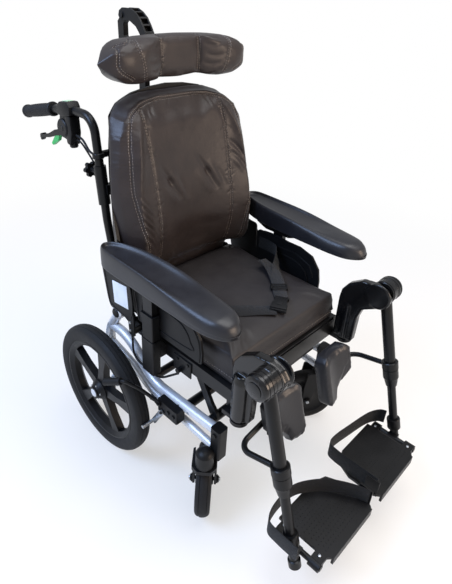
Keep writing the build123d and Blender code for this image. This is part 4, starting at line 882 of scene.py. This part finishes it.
# the head pad: seams that cross its bolsters
head_skin = skins["head_pad"] = reshape(skins["head_pad"], domed_ends, 14)
head_tree = surface(head_skin)
head_seams = [
    [(149, 1138), (189, 1125), (199, 1103), (195, 1079), (161, 1058)],
    [(139, 1141), (145, 1126), (137, 1102), (132, 1078), (127, 1057)],
    [(60, 1143), (61, 1120), (60, 1095), (60, 1070), (61, 1053)],
]
head_lines = []
for seam in head_seams:
    head_lines += [from_front(head_tree, seam), from_front(head_tree, mirrored(seam))]
head_strokes = [(line, 2.8, 2.0, False) for line in head_lines]
for line in head_lines:
    head_strokes += gathers(head_tree, line, 9, 12, 0.7)
for way in (-1, 1):
    spots = [(way * x, z) for x, z in ((92, 1118), (98, 1094), (90, 1074))]
    head_strokes += folds(head_tree, spots, [
        ([(-24 * way, 6), (0, 0), (26 * way, 5)], 5, 1.6, True)])
press(head_skin, head_strokes)
upholster("head_pad", leatherette)
head_tree = surface(head_skin)
sewn_rows = []
for line in head_lines:
    sewn_rows += rows(head_tree, line, (-3.2, 3.2))
stitches("head_pad_topstitching", sewn_rows, "head_rest", 6, 3.8, 1.1)

# the seat cushion: a smooth cover with a boxing seam near its foot
seat_skin = skins["seat_cushion"]
seat_tree = surface(seat_skin)
hem = smooth_line([at(x, y, 466) for x, y in (
    (-214, -100), (-214, -250), (-214, -390), (-211, -424), (-196, -436), (0, -438),
    (196, -436), (211, -424), (214, -390), (214, -250), (214, -100))], 10)
hem = [seat_tree.find_nearest(p)[0] for p in hem]
corners = [[seat_tree.find_nearest(at(way * 210, -431, z))[0] for z in range(468, 526, 6)]
           for way in (-1, 1)]
seat_strokes = [(line, 2.4, 1.5, False) for line in [hem] + corners]
seat_strokes += gathers(seat_tree, hem, 26, 14, 0.6, 1)
for x, y, depth in ((-80, -200, 3.5), (80, -200, 3.5), (0, -300, 2.0)):
    seat_strokes.append(([at(x, y, 538), at(x * 1.1, y - 60, 538)], 70, depth, False))
for way in (-1, 1):
    for reach in (0, 18, 38):
        seat_strokes.append(([at(way * (204 - reach), -432, 520),
                              at(way * (180 - reach), -408 + reach / 2, 534),
                              at(way * (160 - reach), -370, 538)], 5, 1.3, True))
press(seat_skin, seat_strokes)
upholster("seat_cushion", seat_cover)
seat_tree = surface(seat_skin)
stitches("seat_cushion_hem_stitching", rows(seat_tree, hem, (3.4,)), "seat",
         7.5, 4.2, 1.2)

# the height of an arm pad's rim along it, behind the axle and over the floor
ARM_RIM = ((-468, 654), (-455, 665), (-430, 672), (-330, 678), (-200, 686), (-60, 689),
           (-22, 686))
# how far in from the outline (1 outside, 0 on the middle line) and how far below the rim
ARM_DISHED = ((1.0, 16), (0.985, 8), (0.95, 3), (0.89, 0.4), (0.82, 0.2), (0.76, 1.6),
              (0.70, 5.0), (0.63, 8.0), (0.54, 9.6), (0.35, 10.2), (0.15, 10.4))
ARM_DOMED = ((1.0, 27), (0.98, 19), (0.93, 12), (0.86, 7.6), (0.77, 4.4), (0.68, 2.6),
             (0.58, 1.4), (0.47, 0.6), (0.35, 0.1), (0.22, -0.3), (0.1, -0.5))


def arm_pad_mesh(side):
    """A moulded arm pad: a rim round the forearm's hollow, which ends in a dome ahead."""
    outline = smooth_line([(x, y, 0) for x, y in (
        (294, -390), (295, -320), (295, -250), (294, -160), (293, -80), (287, -42),
        (268, -25), (251, -33), (238, -54), (221, -92), (208, -150), (202, -240),
        (201, -330), (201, -380), (209, -428), (230, -457), (250, -466), (272, -456),
        (287, -428))], 6, True)
    spine = [Vector((267 - 20 * i / 40, -54 - 366 * i / 40, 0)) for i in range(41)]
    shape = bmesh.new()
    rings = []
    low = ((0.1, 0), (0.6, 0), (0.95, 0), (0.985, 1.5), (0.997, 5), (0.99, 9.5),
           (0.99, 11), (1.0, 14))
    for index in range(len(low) + len(ARM_DISHED)):
        ring = []
        for edge in outline:
            core = min(spine, key=lambda c: (c - edge).length)
            if index < len(low):
                share, height = low[index][0], 632 + low[index][1]
            else:
                domed = min(max((-edge.y - 235) / 160, 0), 1)
                domed = domed * domed * (3 - 2 * domed)
                hollow, dome = (t[index - len(low)] for t in (ARM_DISHED, ARM_DOMED))
                share = hollow[0] + (dome[0] - hollow[0]) * domed
                spot = core + (edge - core) * share
                rim = np.interp(spot.y, *zip(*ARM_RIM))
                height = rim - hollow[1] - (dome[1] - hollow[1]) * domed
            spot = core + (edge - core) * share
            ring.append(shape.verts.new(at(side * spot.x, spot.y, height)))
        rings.append(ring)
    walls(shape, rings)
    for ring in (rings[0], rings[-1]):
        shape.faces.new(ring)
    bmesh.ops.triangulate(shape, faces=[f for f in shape.faces if len(f.verts) > 4])
    bmesh.ops.remove_doubles(shape, verts=shape.verts, dist=1e-5)
    bmesh.ops.recalc_face_normals(shape, faces=shape.faces)
    worked = loose("arm_pad_work", to_mesh("arm_pad", shape))
    soften(worked, 2)
    divide(worked)
    made = applied(worked)
    made.shade_smooth()
    return made


for side, name in SIDES:
    skins[f"arm_pad_{name}"] = arm_pad_mesh(side)
    upholster(f"arm_pad_{name}", skin_foam)
    upholster(f"calf_pad_{name}", skin_foam)


# ---------------------------------------------------------------- wheels
def round_profile(half, low, high, grooves):
    """A tyre's section as (across, radius): shoulders, a crowned tread and its grooves."""
    profile = [(-half + 4, low), (-half + 0.5, low + 6), (-half, (low + high) / 2)]
    for i in range(17):
        angle = pi * (i - 8) / 17
        across = half * sin(angle) * 0.99
        reach = high - (half * 0.62) * (1 - cos(angle))
        profile.append((across, reach))
        if i < 16 and (i - 8) in grooves:
            profile += [(across + 0.9, reach - 0.2), (across + 1.2, reach - 1.6),
                        (across + 2.0, reach - 1.6), (across + 2.3, reach - 0.2)]
    return profile + [(half, (low + high) / 2), (half - 0.5, low + 6), (half - 4, low)]


for side, name in SIDES:
    hub = at(side * WHEEL_X, 0, WHEEL_RADIUS)
    out = (side, 0, 0)
    tyre = piece(f"rear_tyre_rolled_{name}",
                 to_mesh("tyre", turned(hub, out, round_profile(22, 158.1, WHEEL_RADIUS,
                                                                (-4, -1, 2)), 112, True)),
                 tyre_rubber, f"rear_wheel_{name}")
    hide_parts(f"rear_tyre_{name}")
    dress(f"rear_wheel_{name}", nylon, 2.2)
    cap = turned(hub, out, [(29, 0), (29, 17), (31, 19.5), (33.5, 19.5), (34.6, 18),
                            (34.6, 12), (33.6, 11), (33.6, 0)], 40)
    ring = turned(hub, out, [(14.6, 27), (16.2, 28.5), (16.2, 31), (14.6, 32.5)], 48, True)
    bead = turned(hub, out, [(17.4, 149.5), (19.4, 151), (19.4, 155), (17.6, 157.8)], 96,
                  True)
    moulding(f"wheel_hub_cap_{name}", f"rear_wheel_{name}", cap, ring, bead)
    bolts = [((side * 314.5, 22 * cos(a), WHEEL_RADIUS + 22 * sin(a)), out)
             for a in [radians(27 + 360 / WHEEL_BOLTS * i) for i in range(WHEEL_BOLTS)]]
    fixings(f"wheel_hub_screws_{name}", bolts, screw_head, zinc, f"rear_wheel_{name}",
            0.6)

    stem = Vector((side * CASTOR_STEM[0], CASTOR_STEM[1], CASTOR_RADIUS))
    behind = Vector((-side * sin(CASTOR_SWIVEL), cos(CASTOR_SWIVEL), 0))
    across = Vector((cos(CASTOR_SWIVEL), side * sin(CASTOR_SWIVEL), 0))
    axle = stem + behind * CASTOR_TRAIL
    low = at(*axle)
    wheel = turned(low, across, round_profile(20, 71, CASTOR_RADIUS, (-3, 3)), 88, True)
    disc = turned(low, across, [(-23.9, 5.2), (-23.9, 14), (-13, 19), (-10, 26), (-8, 34),
                                (-8, 58), (-12, 66), (-16.5, 69.5), (-16.5, 73),
                                (16.5, 73), (16.5, 69.5), (12, 66), (8, 58), (8, 34),
                                (10, 26), (13, 19), (23.9, 14), (23.9, 5.2)], 64, True)
    rolled = piece(f"castor_tyre_{name}", to_mesh("castor", wheel), tyre_rubber,
                   f"castor_wheel_{name}")
    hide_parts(f"castor_wheel_{name}")
    piece(f"castor_disc_{name}", to_mesh("disc", disc), nylon, f"castor_wheel_{name}")
    dress(f"castor_fork_{name}", nylon, 1.8)
    fixings(f"castor_axle_screws_{name}",
            [(tuple(axle + way * across * 39), way * across) for way in (1, -1)],
            screw_head, zinc, f"castor_fork_{name}", 1.1)
    dress(f"lock_lever_{name}", black_paint, 0.8,
          [(grip_rubber, lambda x, y, z: abs(x) > 322 and z > 318)])
    dress(f"lock_shoe_{name}", zinc, 0.6)

# ---------------------------------------------------------------- frames
for side, name in SIDES:
    dress(f"side_frame_{name}", silver_paint, 0.8)
    plugs = [(at(side * 225, 38, 323), (0, 0.965, 0.26), 11), (at(side * 225, 28, 387),
                                                               (0, 1, 0), 14)]
    shapes = [turned(spot, way, [(-1, 0), (-1, r - 1), (0, r + 0.4), (2.2, r), (3.4, r - 2),
                                 (3.6, 0)], 32) for spot, way, r in plugs]
    shapes.append(turned(at(side * 238.6, -16, 453), (side, 0, 0),
                         [(-1, 0), (-1, 14), (1, 14), (3.5, 12), (4.6, 8), (4.8, 0)], 36))
    moulding(f"tube_plugs_{name}", "base", *shapes)
    fixings(f"axle_plate_screws_{name}", [
        ((side * 228.4, -34, 268), (side, 0, 0)), ((side * 228.4, 8, 238), (side, 0, 0)),
        ((side * 239.5, -60, 302), (side, 0, 0))], screw_head, zinc, "base", 0.9)
dress("cross_tubes", black_paint, 0.6)
dress("castor_housings", moulded, 2.0)
dress("lock_blocks", moulded, 1.6)
dress("seat_frame", black_paint, 0.9,
      [(zinc, lambda x, y, z: 212 < abs(x) < 230 and z > 396 and y < -455)])
dress("back_frame", black_paint, 0.8)
dress("back_shell", moulded, 5.0, corner=radians(12))
for spring in ("tilt", "recline"):
    dress(f"{spring}_cylinder", black_paint, 0.6)
    dress(f"{spring}_rod", chrome, 0.4)
dress("side_panels", moulded, 1.2)
dress("arm_receivers", moulded, 1.0)
dress("head_post", black_paint, 0.8)
dress("head_arch", moulded, 1.0, [(zinc, lambda x, y, z: abs(x) > 19.2)])
dress("head_bracket", black_paint, 0.8)
dress("push_handles", black_paint, 0.5)
dress("handle_cables", grip_rubber, 0.0)
dress("control_cables", grip_rubber, 0.0)


def on_catch(x, y, z):
    """Whether a face is on the catch that hangs under the hand lever."""
    underside = 875 - (y - 262) * (0.368 if y > 262 else 0.231)
    return 246 < y < 298 and z < underside - 1.2 and abs(abs(x) - HANDLE_X) < 5.5


for side, name in SIDES:
    dress(f"hand_lever_{name}", moulded, 2.2, [(green_nylon, on_catch)])
    moulding(f"hand_lever_tip_{name}", f"hand_lever_{name}", side_block(
        [(338, 865), (355, 860), (355, 846), (350, 841), (344, 846), (338, 853)], 193.5,
        206.5, 3.5, side))
    dress(f"star_knob_{name}", moulded, 1.5)
    dress(f"arm_post_{name}", black_paint, 0.8)
    moulded_round(f"leg_hanger_{name}", gloss, 2.2, 9)
    dress(f"leg_tube_{name}", black_paint, 0.9,
          [(gloss, lambda x, y, z: abs(x) > 226
            and (y - KNEE[1]) ** 2 + (z - KNEE[2]) ** 2 < 34 ** 2)])
    dress(f"leg_slider_{name}", black_paint, 0.8)
    dress(f"footplate_{name}", moulded, 1.2)
    dress(f"calf_arm_{name}", black_paint, 0.8)

# ---------------------------------------------------------------- webbing
DOWN = Vector((0, 0, -1))


def on_seat(x, y, lift):
    """A place on the seat cushion, so many mm over it."""
    hit = seat_tree.ray_cast(at(x, y, 700), DOWN)[0]
    return hit + Vector((0, 0, lift / 1000))


def strap_piece(name, controls, width, thickness, body, per_run=8):
    """A webbing strap through controls of (place in metres, the way its width lies)."""
    line = smooth_line([spot for spot, way in controls], per_run)
    ways = smooth_line([Vector(way) for spot, way in controls], per_run)
    shape = band(line, ways, flat_section(width, thickness))
    return piece(name, to_mesh(name, shape), webbing, body)


belt_right = [(at(-224.6, -126, 560), (0, 0, 1)), (at(-224.4, -176, 560), (0, 0, 1)),
              (at(-214, -214, 562), (0.08, 0.1, 1)),
              (on_seat(-176, -246, 16), (0.3, 0.45, 0.84)),
              (on_seat(-126, -282, 8), (0.5, 0.72, 0.48)),
              (on_seat(-76, -318, 5), (0.57, 0.8, 0.2)),
              (on_seat(-30, -350, 4.5), (0.58, 0.81, 0.06)),
              (on_seat(2, -374, 5), (0.6, 0.8, 0))]
belt_left = [(at(224.6, -126, 560), (0, 0, 1)), (at(224.4, -170, 560), (0, 0, 1)),
             (at(212, -204, 561), (-0.08, 0.1, 1)),
             (on_seat(182, -232, 15), (-0.35, 0.4, 0.85)),
             (on_seat(150, -258, 9), (-0.52, 0.6, 0.6)),
             (on_seat(118, -286, 6), (-0.66, 0.7, 0.25)),
             (on_seat(84, -318, 5), (-0.72, 0.69, 0)),
             (on_seat(54, -350, 5), (-0.72, 0.69, 0))]
shown = strap_piece("lap_belt_right_webbing", belt_right, *BELT, "seat")
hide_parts("lap_belt")
strap_piece("lap_belt_left_webbing", belt_left, *BELT, "seat")
# the doubled end of the left half comes back over itself through the slider
strap_piece("lap_belt_left_tail", [
    (on_seat(74, -328, 8.5), (-0.72, 0.69, 0)), (on_seat(102, -298, 9.5), (-0.72, 0.69, 0)),
    (on_seat(128, -262, 13), (-0.8, 0.6, 0.1)), (on_seat(140, -232, 19), (-0.93, 0.3, 0.2)),
    (on_seat(142, -206, 24), (-0.97, 0.0, 0.2))], *BELT, "seat")


def buckle_plan(half_along, half_across, waist):
    """Outline of a buckle half: shouldered, narrower at its waist."""
    return [(-half_along, -half_across), (-half_along * 0.2, -half_across),
            (half_along * 0.1, -half_across + waist), (half_along, -half_across + waist),
            (half_along, half_across - waist), (half_along * 0.1, half_across - waist),
            (-half_along * 0.2, half_across), (-half_along, half_across)]


def laid(plan, middle, along, height, edge):
    """A moulded piece lying on the cushion: its plan turned along the belt."""
    along = Vector(along).normalized()
    across = DOWN.cross(along)
    spots = [middle + (along * a + across * b) / 1000 for a, b in plan]
    return slab(spots, (0, 0, 1), height, edge)


buckle_way = (52, 28, 0)
middle = on_seat(28, -366, 1.5)
shapes = [laid(buckle_plan(26, 21, 4), middle, buckle_way, 11, 2.0),
          laid([(-31, -22), (-24, -22), (-24, 22), (-31, 22)], middle, buckle_way, 8, 1.5),
          laid([(27, -20), (33, -20), (33, 20), (27, 20)], middle, buckle_way, 8, 1.5),
          laid([(-12, -7), (12, -7), (12, 7), (-12, 7)],
               middle + Vector((0, 0, 0.0105)), buckle_way, 1.6, 0.6)]
moulding("lap_belt_buckle", "seat", *shapes)
slider_way = (34, 34, 0)
middle = on_seat(84, -318, 3)
shapes = [laid([(-3, -22), (3, -22), (3, 22), (-3, 22)],
               middle + Vector(slider_way).normalized() * step / 1000, slider_way, 8, 1.4)
          for step in (-9, 0, 9)]
shapes += [laid([(-12, -2.5), (12, -2.5), (12, 2.5), (-12, 2.5)],
                middle + Vector((-1, 1, 0)).normalized() * way / 1000, slider_way, 8, 1.4)
           for way in (-20.5, 20.5)]
moulding("lap_belt_slider", "seat", *shapes)

heel_routes = {
    "left": [(243, -633), (232, -616), (196, -599), (120, -586), (60, -578), (30, -582),
             (21, -606), (20, -660), (20.6, -728)],
    "right": [(-262.4, -692), (-262.4, -640), (-256, -606), (-216, -590), (-150, -590),
              (-104, -612), (-66, -646), (-38, -690), (-21, -732)],
}
for side, name in SIDES:
    controls = [(at(x, y, 184), (0, 0, 1)) for x, y in heel_routes[name]]
    strap = strap_piece(f"heel_strap_webbing_{name}", controls, 47, 2.4,
                        f"leg_slider_{name}")
    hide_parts(f"heel_strap_{name}")

# ---------------------------------------------------------------- grips, covers, plates
for side, name in SIDES:
    fall = atan2(50, 216)
    start = at(side * HANDLE_X, 416 + 7 * cos(fall), 909 - 7 * sin(fall))
    profile = [(0, 0), (0, 13), (1, 15.5), (4, 18), (9, 18), (14, 15.4)]
    for i in range(16):
        step = 18 + i * 7.6
        swell = 15.6 + 1.0 * sin(pi * i / 15)
        profile += [(step, swell), (step + 1.4, swell + 0.7), (step + 5.2, swell + 0.7),
                    (step + 6.6, swell)]
    profile += [(146, 15.6), (150, 18.8), (156, 19), (159.5, 17), (160, 11.6)]
    grip = turned(start, (0, -cos(fall), sin(fall)), profile, 48)
    shown = piece(f"push_grip_ribbed_{name}", to_mesh("grip", grip), grip_rubber, "handles")
    if name == "left":
        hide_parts("push_grips")
    # lever housing: a clamp on the tube over a stem, with the lever's pin between cheeks
    shapes = [side_block([(164, 946), (162, 968), (172, 980), (210, 975), (227, 962),
                          (227, 940), (196, 938)], 182.5, 217.5, 5.5, side),
              side_block([(168, 944), (192, 944), (197, 905), (193, 870), (176, 868),
                          (166, 900)], 185, 215, 4.5, side),
              side_block([(186, 944), (222, 940), (226, 922), (220, 911), (186, 911)],
                         188, 212, 4, side),
              turned(at(side * HANDLE_X, 184, 872), (0, -0.1, -1),
                     [(-6, 0), (-6, 11), (9, 11), (12, 8.5), (12, 0)], 24)]
    shapes += [turned(at(side * (HANDLE_X + way * 13), 207, 908), (side * way, 0, 0),
                      [(-4, 0), (-4, 24), (2.5, 24), (5, 21), (5, 8), (6, 7), (6, 0)], 40)
               for way in (-1, 1)]
    housing = moulding(f"lever_housing_moulded_{name}", "handles", *shapes)
    if name == "left":
        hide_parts("lever_housings")
    label = slab([at(side * HANDLE_X + x, y, z) for x, y, z in (
        (-9, 180, 979.0), (9, 180, 979.0), (9, 206, 975.6), (-9, 206, 975.6))],
        Vector((0, 0.13, 0.99)), 0.7, 0.2)
    piece(f"housing_label_{name}", to_mesh("label", label), bare_label, "handles")
    cable = rod([at(side * x, y, z) for x, y, z in (
        (199, 168, 884), (196, 152, 878), (191, 128, 852), (188, 104, 826),
        (187, 92, 806))], 2.4, per_run=8, sides=10)
    piece(f"lever_cable_{name}", to_mesh("cable", cable), grip_rubber, "handles")

for side, name in SIDES:
    out = Vector((side, 0, 0))
    face = 235.7
    rim = [(-118, 486), (-118, 590), (-270, 591), (-312, 578), (-338, 549), (-345, 515),
           (-344, 488)]
    inner = [(-150, 505), (-150, 566), (-262, 566), (-296, 552), (-312, 528), (-312, 505)]
    shapes = [rod([at(side * face, y, z) for y, z in rim], 2.2),
              rod([at(side * face, y, z) for y, z in inner], 2.0, True),
              rod([at(side * 226.6, y, z) for y, z in (
                  (-130, 548), (-250, 552), (-296, 536), (-312, 514), (-316, 500))], 1.6)]
    for low_y, high_y in ((-160, -136), (-196, -172), (-232, -208)):
        shapes.append(rod([at(side * 228.8, y, 534) for y in (low_y, high_y)], 1.4))
    moulding(f"guard_ribs_{name}", "seat", *shapes)
    moulding(f"rear_cover_rib_{name}", "seat", rod([at(side * COVER_X, y, z) for y, z in (
        (-98, 484), (-12, 484), (0, 510), (13, 592), (6, 602), (-90, 596))], 1.8, True))
    fixings(f"guard_screws_{name}", [
        ((side * COVER_X, y, z), out) for y, z in ((-92, 440), (-92, 466), (2, 596))],
        screw_head, zinc, "seat", 0.8)
plate = slab([at(-245.9, y, z) for y, z in ((-88, 506), (-26, 498), (-22, 566), (-84, 574))],
             (-1, 0, 0), 0.9, 0.3)
piece("rear_cover_plate", to_mesh("plate", plate), bare_plate, "seat")

# knee barrels: collar rings and the scale's raised ticks
for side, name in SIDES:
    knee = at(side * KNEE[0], *KNEE[1:])
    out = (side, 0, 0)
    rings = [turned(knee, out, [(s, 30.2), (s + 0.4, 32), (s + w - 0.4, 32), (s + w, 30.2)],
                    64, True) for s, w in ((4, 3), (30, 2), (40, 3))]
    rings.append(turned(knee, out, [(55, 0), (55, 18), (57.4, 18), (58.2, 16), (58.2, 0)],
                        48))
    for i in range(9):
        angle = radians(40 + i * 12)
        way = Vector((0, -cos(angle), sin(angle)))
        along = way.cross(Vector((1, 0, 0)))
        spot = knee + Vector((side * 11, 0, 0)) / 1000 + way * 0.0308
        long = 10 if i % 4 == 0 else 6
        corners = [spot + (Vector((side * a, 0, 0)) + along * b) / 1000
                   for a, b in ((0, -0.5), (long, -0.5), (long, 0.5), (0, 0.5))]
        rings.append(slab(corners, way, 0.8, 0))
    piece(f"knee_scale_{name}", to_mesh("scale", *rings), gloss, f"leg_tube_{name}")

# footplates: grip studs over the tread, inside its rim
plate_outline = [(207, -602), (70, -602), (32, -616), (13, -658), (13, -730), (24, -744),
                 (196, -744), (207, -734)]


def inside(x, y, outline, margin):
    """Whether a point is in an outline, at least so far from its edges."""
    odd = False
    for (x1, y1), (x2, y2) in zip(outline, outline[1:] + outline[:1]):
        if (y1 > y) != (y2 > y) and x < x1 + (y - y1) * (x2 - x1) / (y2 - y1):
            odd = not odd
        run = Vector((x2 - x1, y2 - y1))
        step = Vector((x - x1, y - y1))
        share = min(max(step.dot(run) / run.length_squared, 0), 1)
        if (step - run * share).length < margin:
            return False
    return odd


for side, name in SIDES:
    studs = []
    for row in range(14):
        for column in range(19):
            x, y = 18 + column * 10 + (row % 2) * 5, -736 + row * 10
            if inside(x, y, plate_outline, 12) and x < 200:
                studs.append(((side * x, y, TREAD_Z), (0, 0, 1)))
    fixings(f"footplate_studs_{name}", studs, grip_stud, moulded, f"footplate_{name}",
            1.2)
    fixings(f"footplate_screws_{name}", [
        ((side * x, y, TREAD_Z), (0, 0, 1)) for x, y in ((214, -722), (214, -623))],
        screw_head, zinc, f"footplate_{name}", 0.8)

for item in (screw_head, grip_stud):
    bpy.data.objects.remove(item)

# ---------------------------------------------------------------- floor and light
floor_shape = bmesh.new()
bmesh.ops.create_grid(floor_shape, x_segments=1, y_segments=1, size=40)
floor = loose("floor", to_mesh("floor", floor_shape))
floor_finish = bpy.data.materials.new("painted_floor_white")
floor_finish.use_nodes = True
tree = floor_finish.node_tree
tree.nodes.clear()
path = add(tree, "ShaderNodeLightPath").outputs
seen = add(tree, "ShaderNodeMath", [(0, path["Is Camera Ray"]), (1, path["Is Glossy Ray"])],
           operation="MAXIMUM")
seen = add(tree, "ShaderNodeMath", [(0, seen.outputs[0]), (1, path["Is Transmission Ray"])],
           operation="MAXIMUM")
paint = add(tree, "ShaderNodeBsdfDiffuse", [("Color", linear("#f7f4f0"))])
bright = add(tree, "ShaderNodeEmission", [("Color", (1, 1, 1, 1)), ("Strength", 1.0)])
# the floor is paper white away from the object and keeps its shadow near it
spot = add(tree, "ShaderNodeTexCoord").outputs["Object"]
away = add(tree, "ShaderNodeVectorMath", [(0, spot)], operation="LENGTH")
fade = add(tree, "ShaderNodeMapRange", [("Value", away.outputs["Value"]), ("From Min", 0.7),
                                        ("From Max", 2.4), ("To Min", 0.5), ("To Max", 1.0)],
           interpolation_type="SMOOTHSTEP")
share = add(tree, "ShaderNodeMath", [(0, seen.outputs[0]), (1, fade.outputs[0])],
            operation="MULTIPLY")
both = add(tree, "ShaderNodeMixShader", [(0, share.outputs[0]), (1, paint.outputs[0]),
                                         (2, bright.outputs[0])])
add(tree, "ShaderNodeOutputMaterial", [("Surface", both.outputs[0])])
floor.data.materials.append(floor_finish)

world = bpy.data.worlds.new("studio")
scene.world = world
world.use_nodes = True
tree = world.node_tree
tree.nodes.clear()
path = add(tree, "ShaderNodeLightPath").outputs
seen = add(tree, "ShaderNodeMath", [(0, path["Is Camera Ray"]),
                                    (1, path["Is Transmission Ray"])], operation="MAXIMUM")
# glossy surfaces see the same background, dimmed by the room that the studio stands in
shiny = add(tree, "ShaderNodeMath", [(0, path["Is Glossy Ray"]), (1, 0.35)],
            operation="MULTIPLY")
seen = add(tree, "ShaderNodeMath", [(0, seen.outputs[0]), (1, shiny.outputs[0])],
           operation="MAXIMUM")
sky = add(tree, "ShaderNodeBackground", [("Color", linear("#e9eef6")), ("Strength", 0.42)])
white = add(tree, "ShaderNodeBackground", [("Color", (1, 1, 1, 1)), ("Strength", 1.0)])
both = add(tree, "ShaderNodeMixShader", [(0, seen.outputs[0]), (1, sky.outputs[0]),
                                         (2, white.outputs[0])])
add(tree, "ShaderNodeOutputWorld", [("Surface", both.outputs[0])])


def lamp(name, place, aim, size, power, colour):
    """A soft square lamp that looks at a place."""
    data = bpy.data.lights.new(name, "AREA")
    data.size, data.energy, data.color = size, power, linear(colour)[:3]
    made = bpy.data.objects.new(name, data)
    scene.collection.objects.link(made)
    made.location = place
    made.rotation_mode = "QUATERNION"
    made.rotation_quaternion = (Vector(aim) - Vector(place)).to_track_quat("-Z", "Y")


lamp("window", (-2.1, 0.8, 2.7), (0, 0, 0.7), 1.6, 100, "#b4d0ff")
lamp("ceiling", (0.4, -0.6, 3.2), (0, 0, 0.3), 2.0, 58, "#ffffff")
lamp("front", (0.9, -3.0, 1.5), (0, 0, 0.6), 1.4, 60, "#ffe4cc")
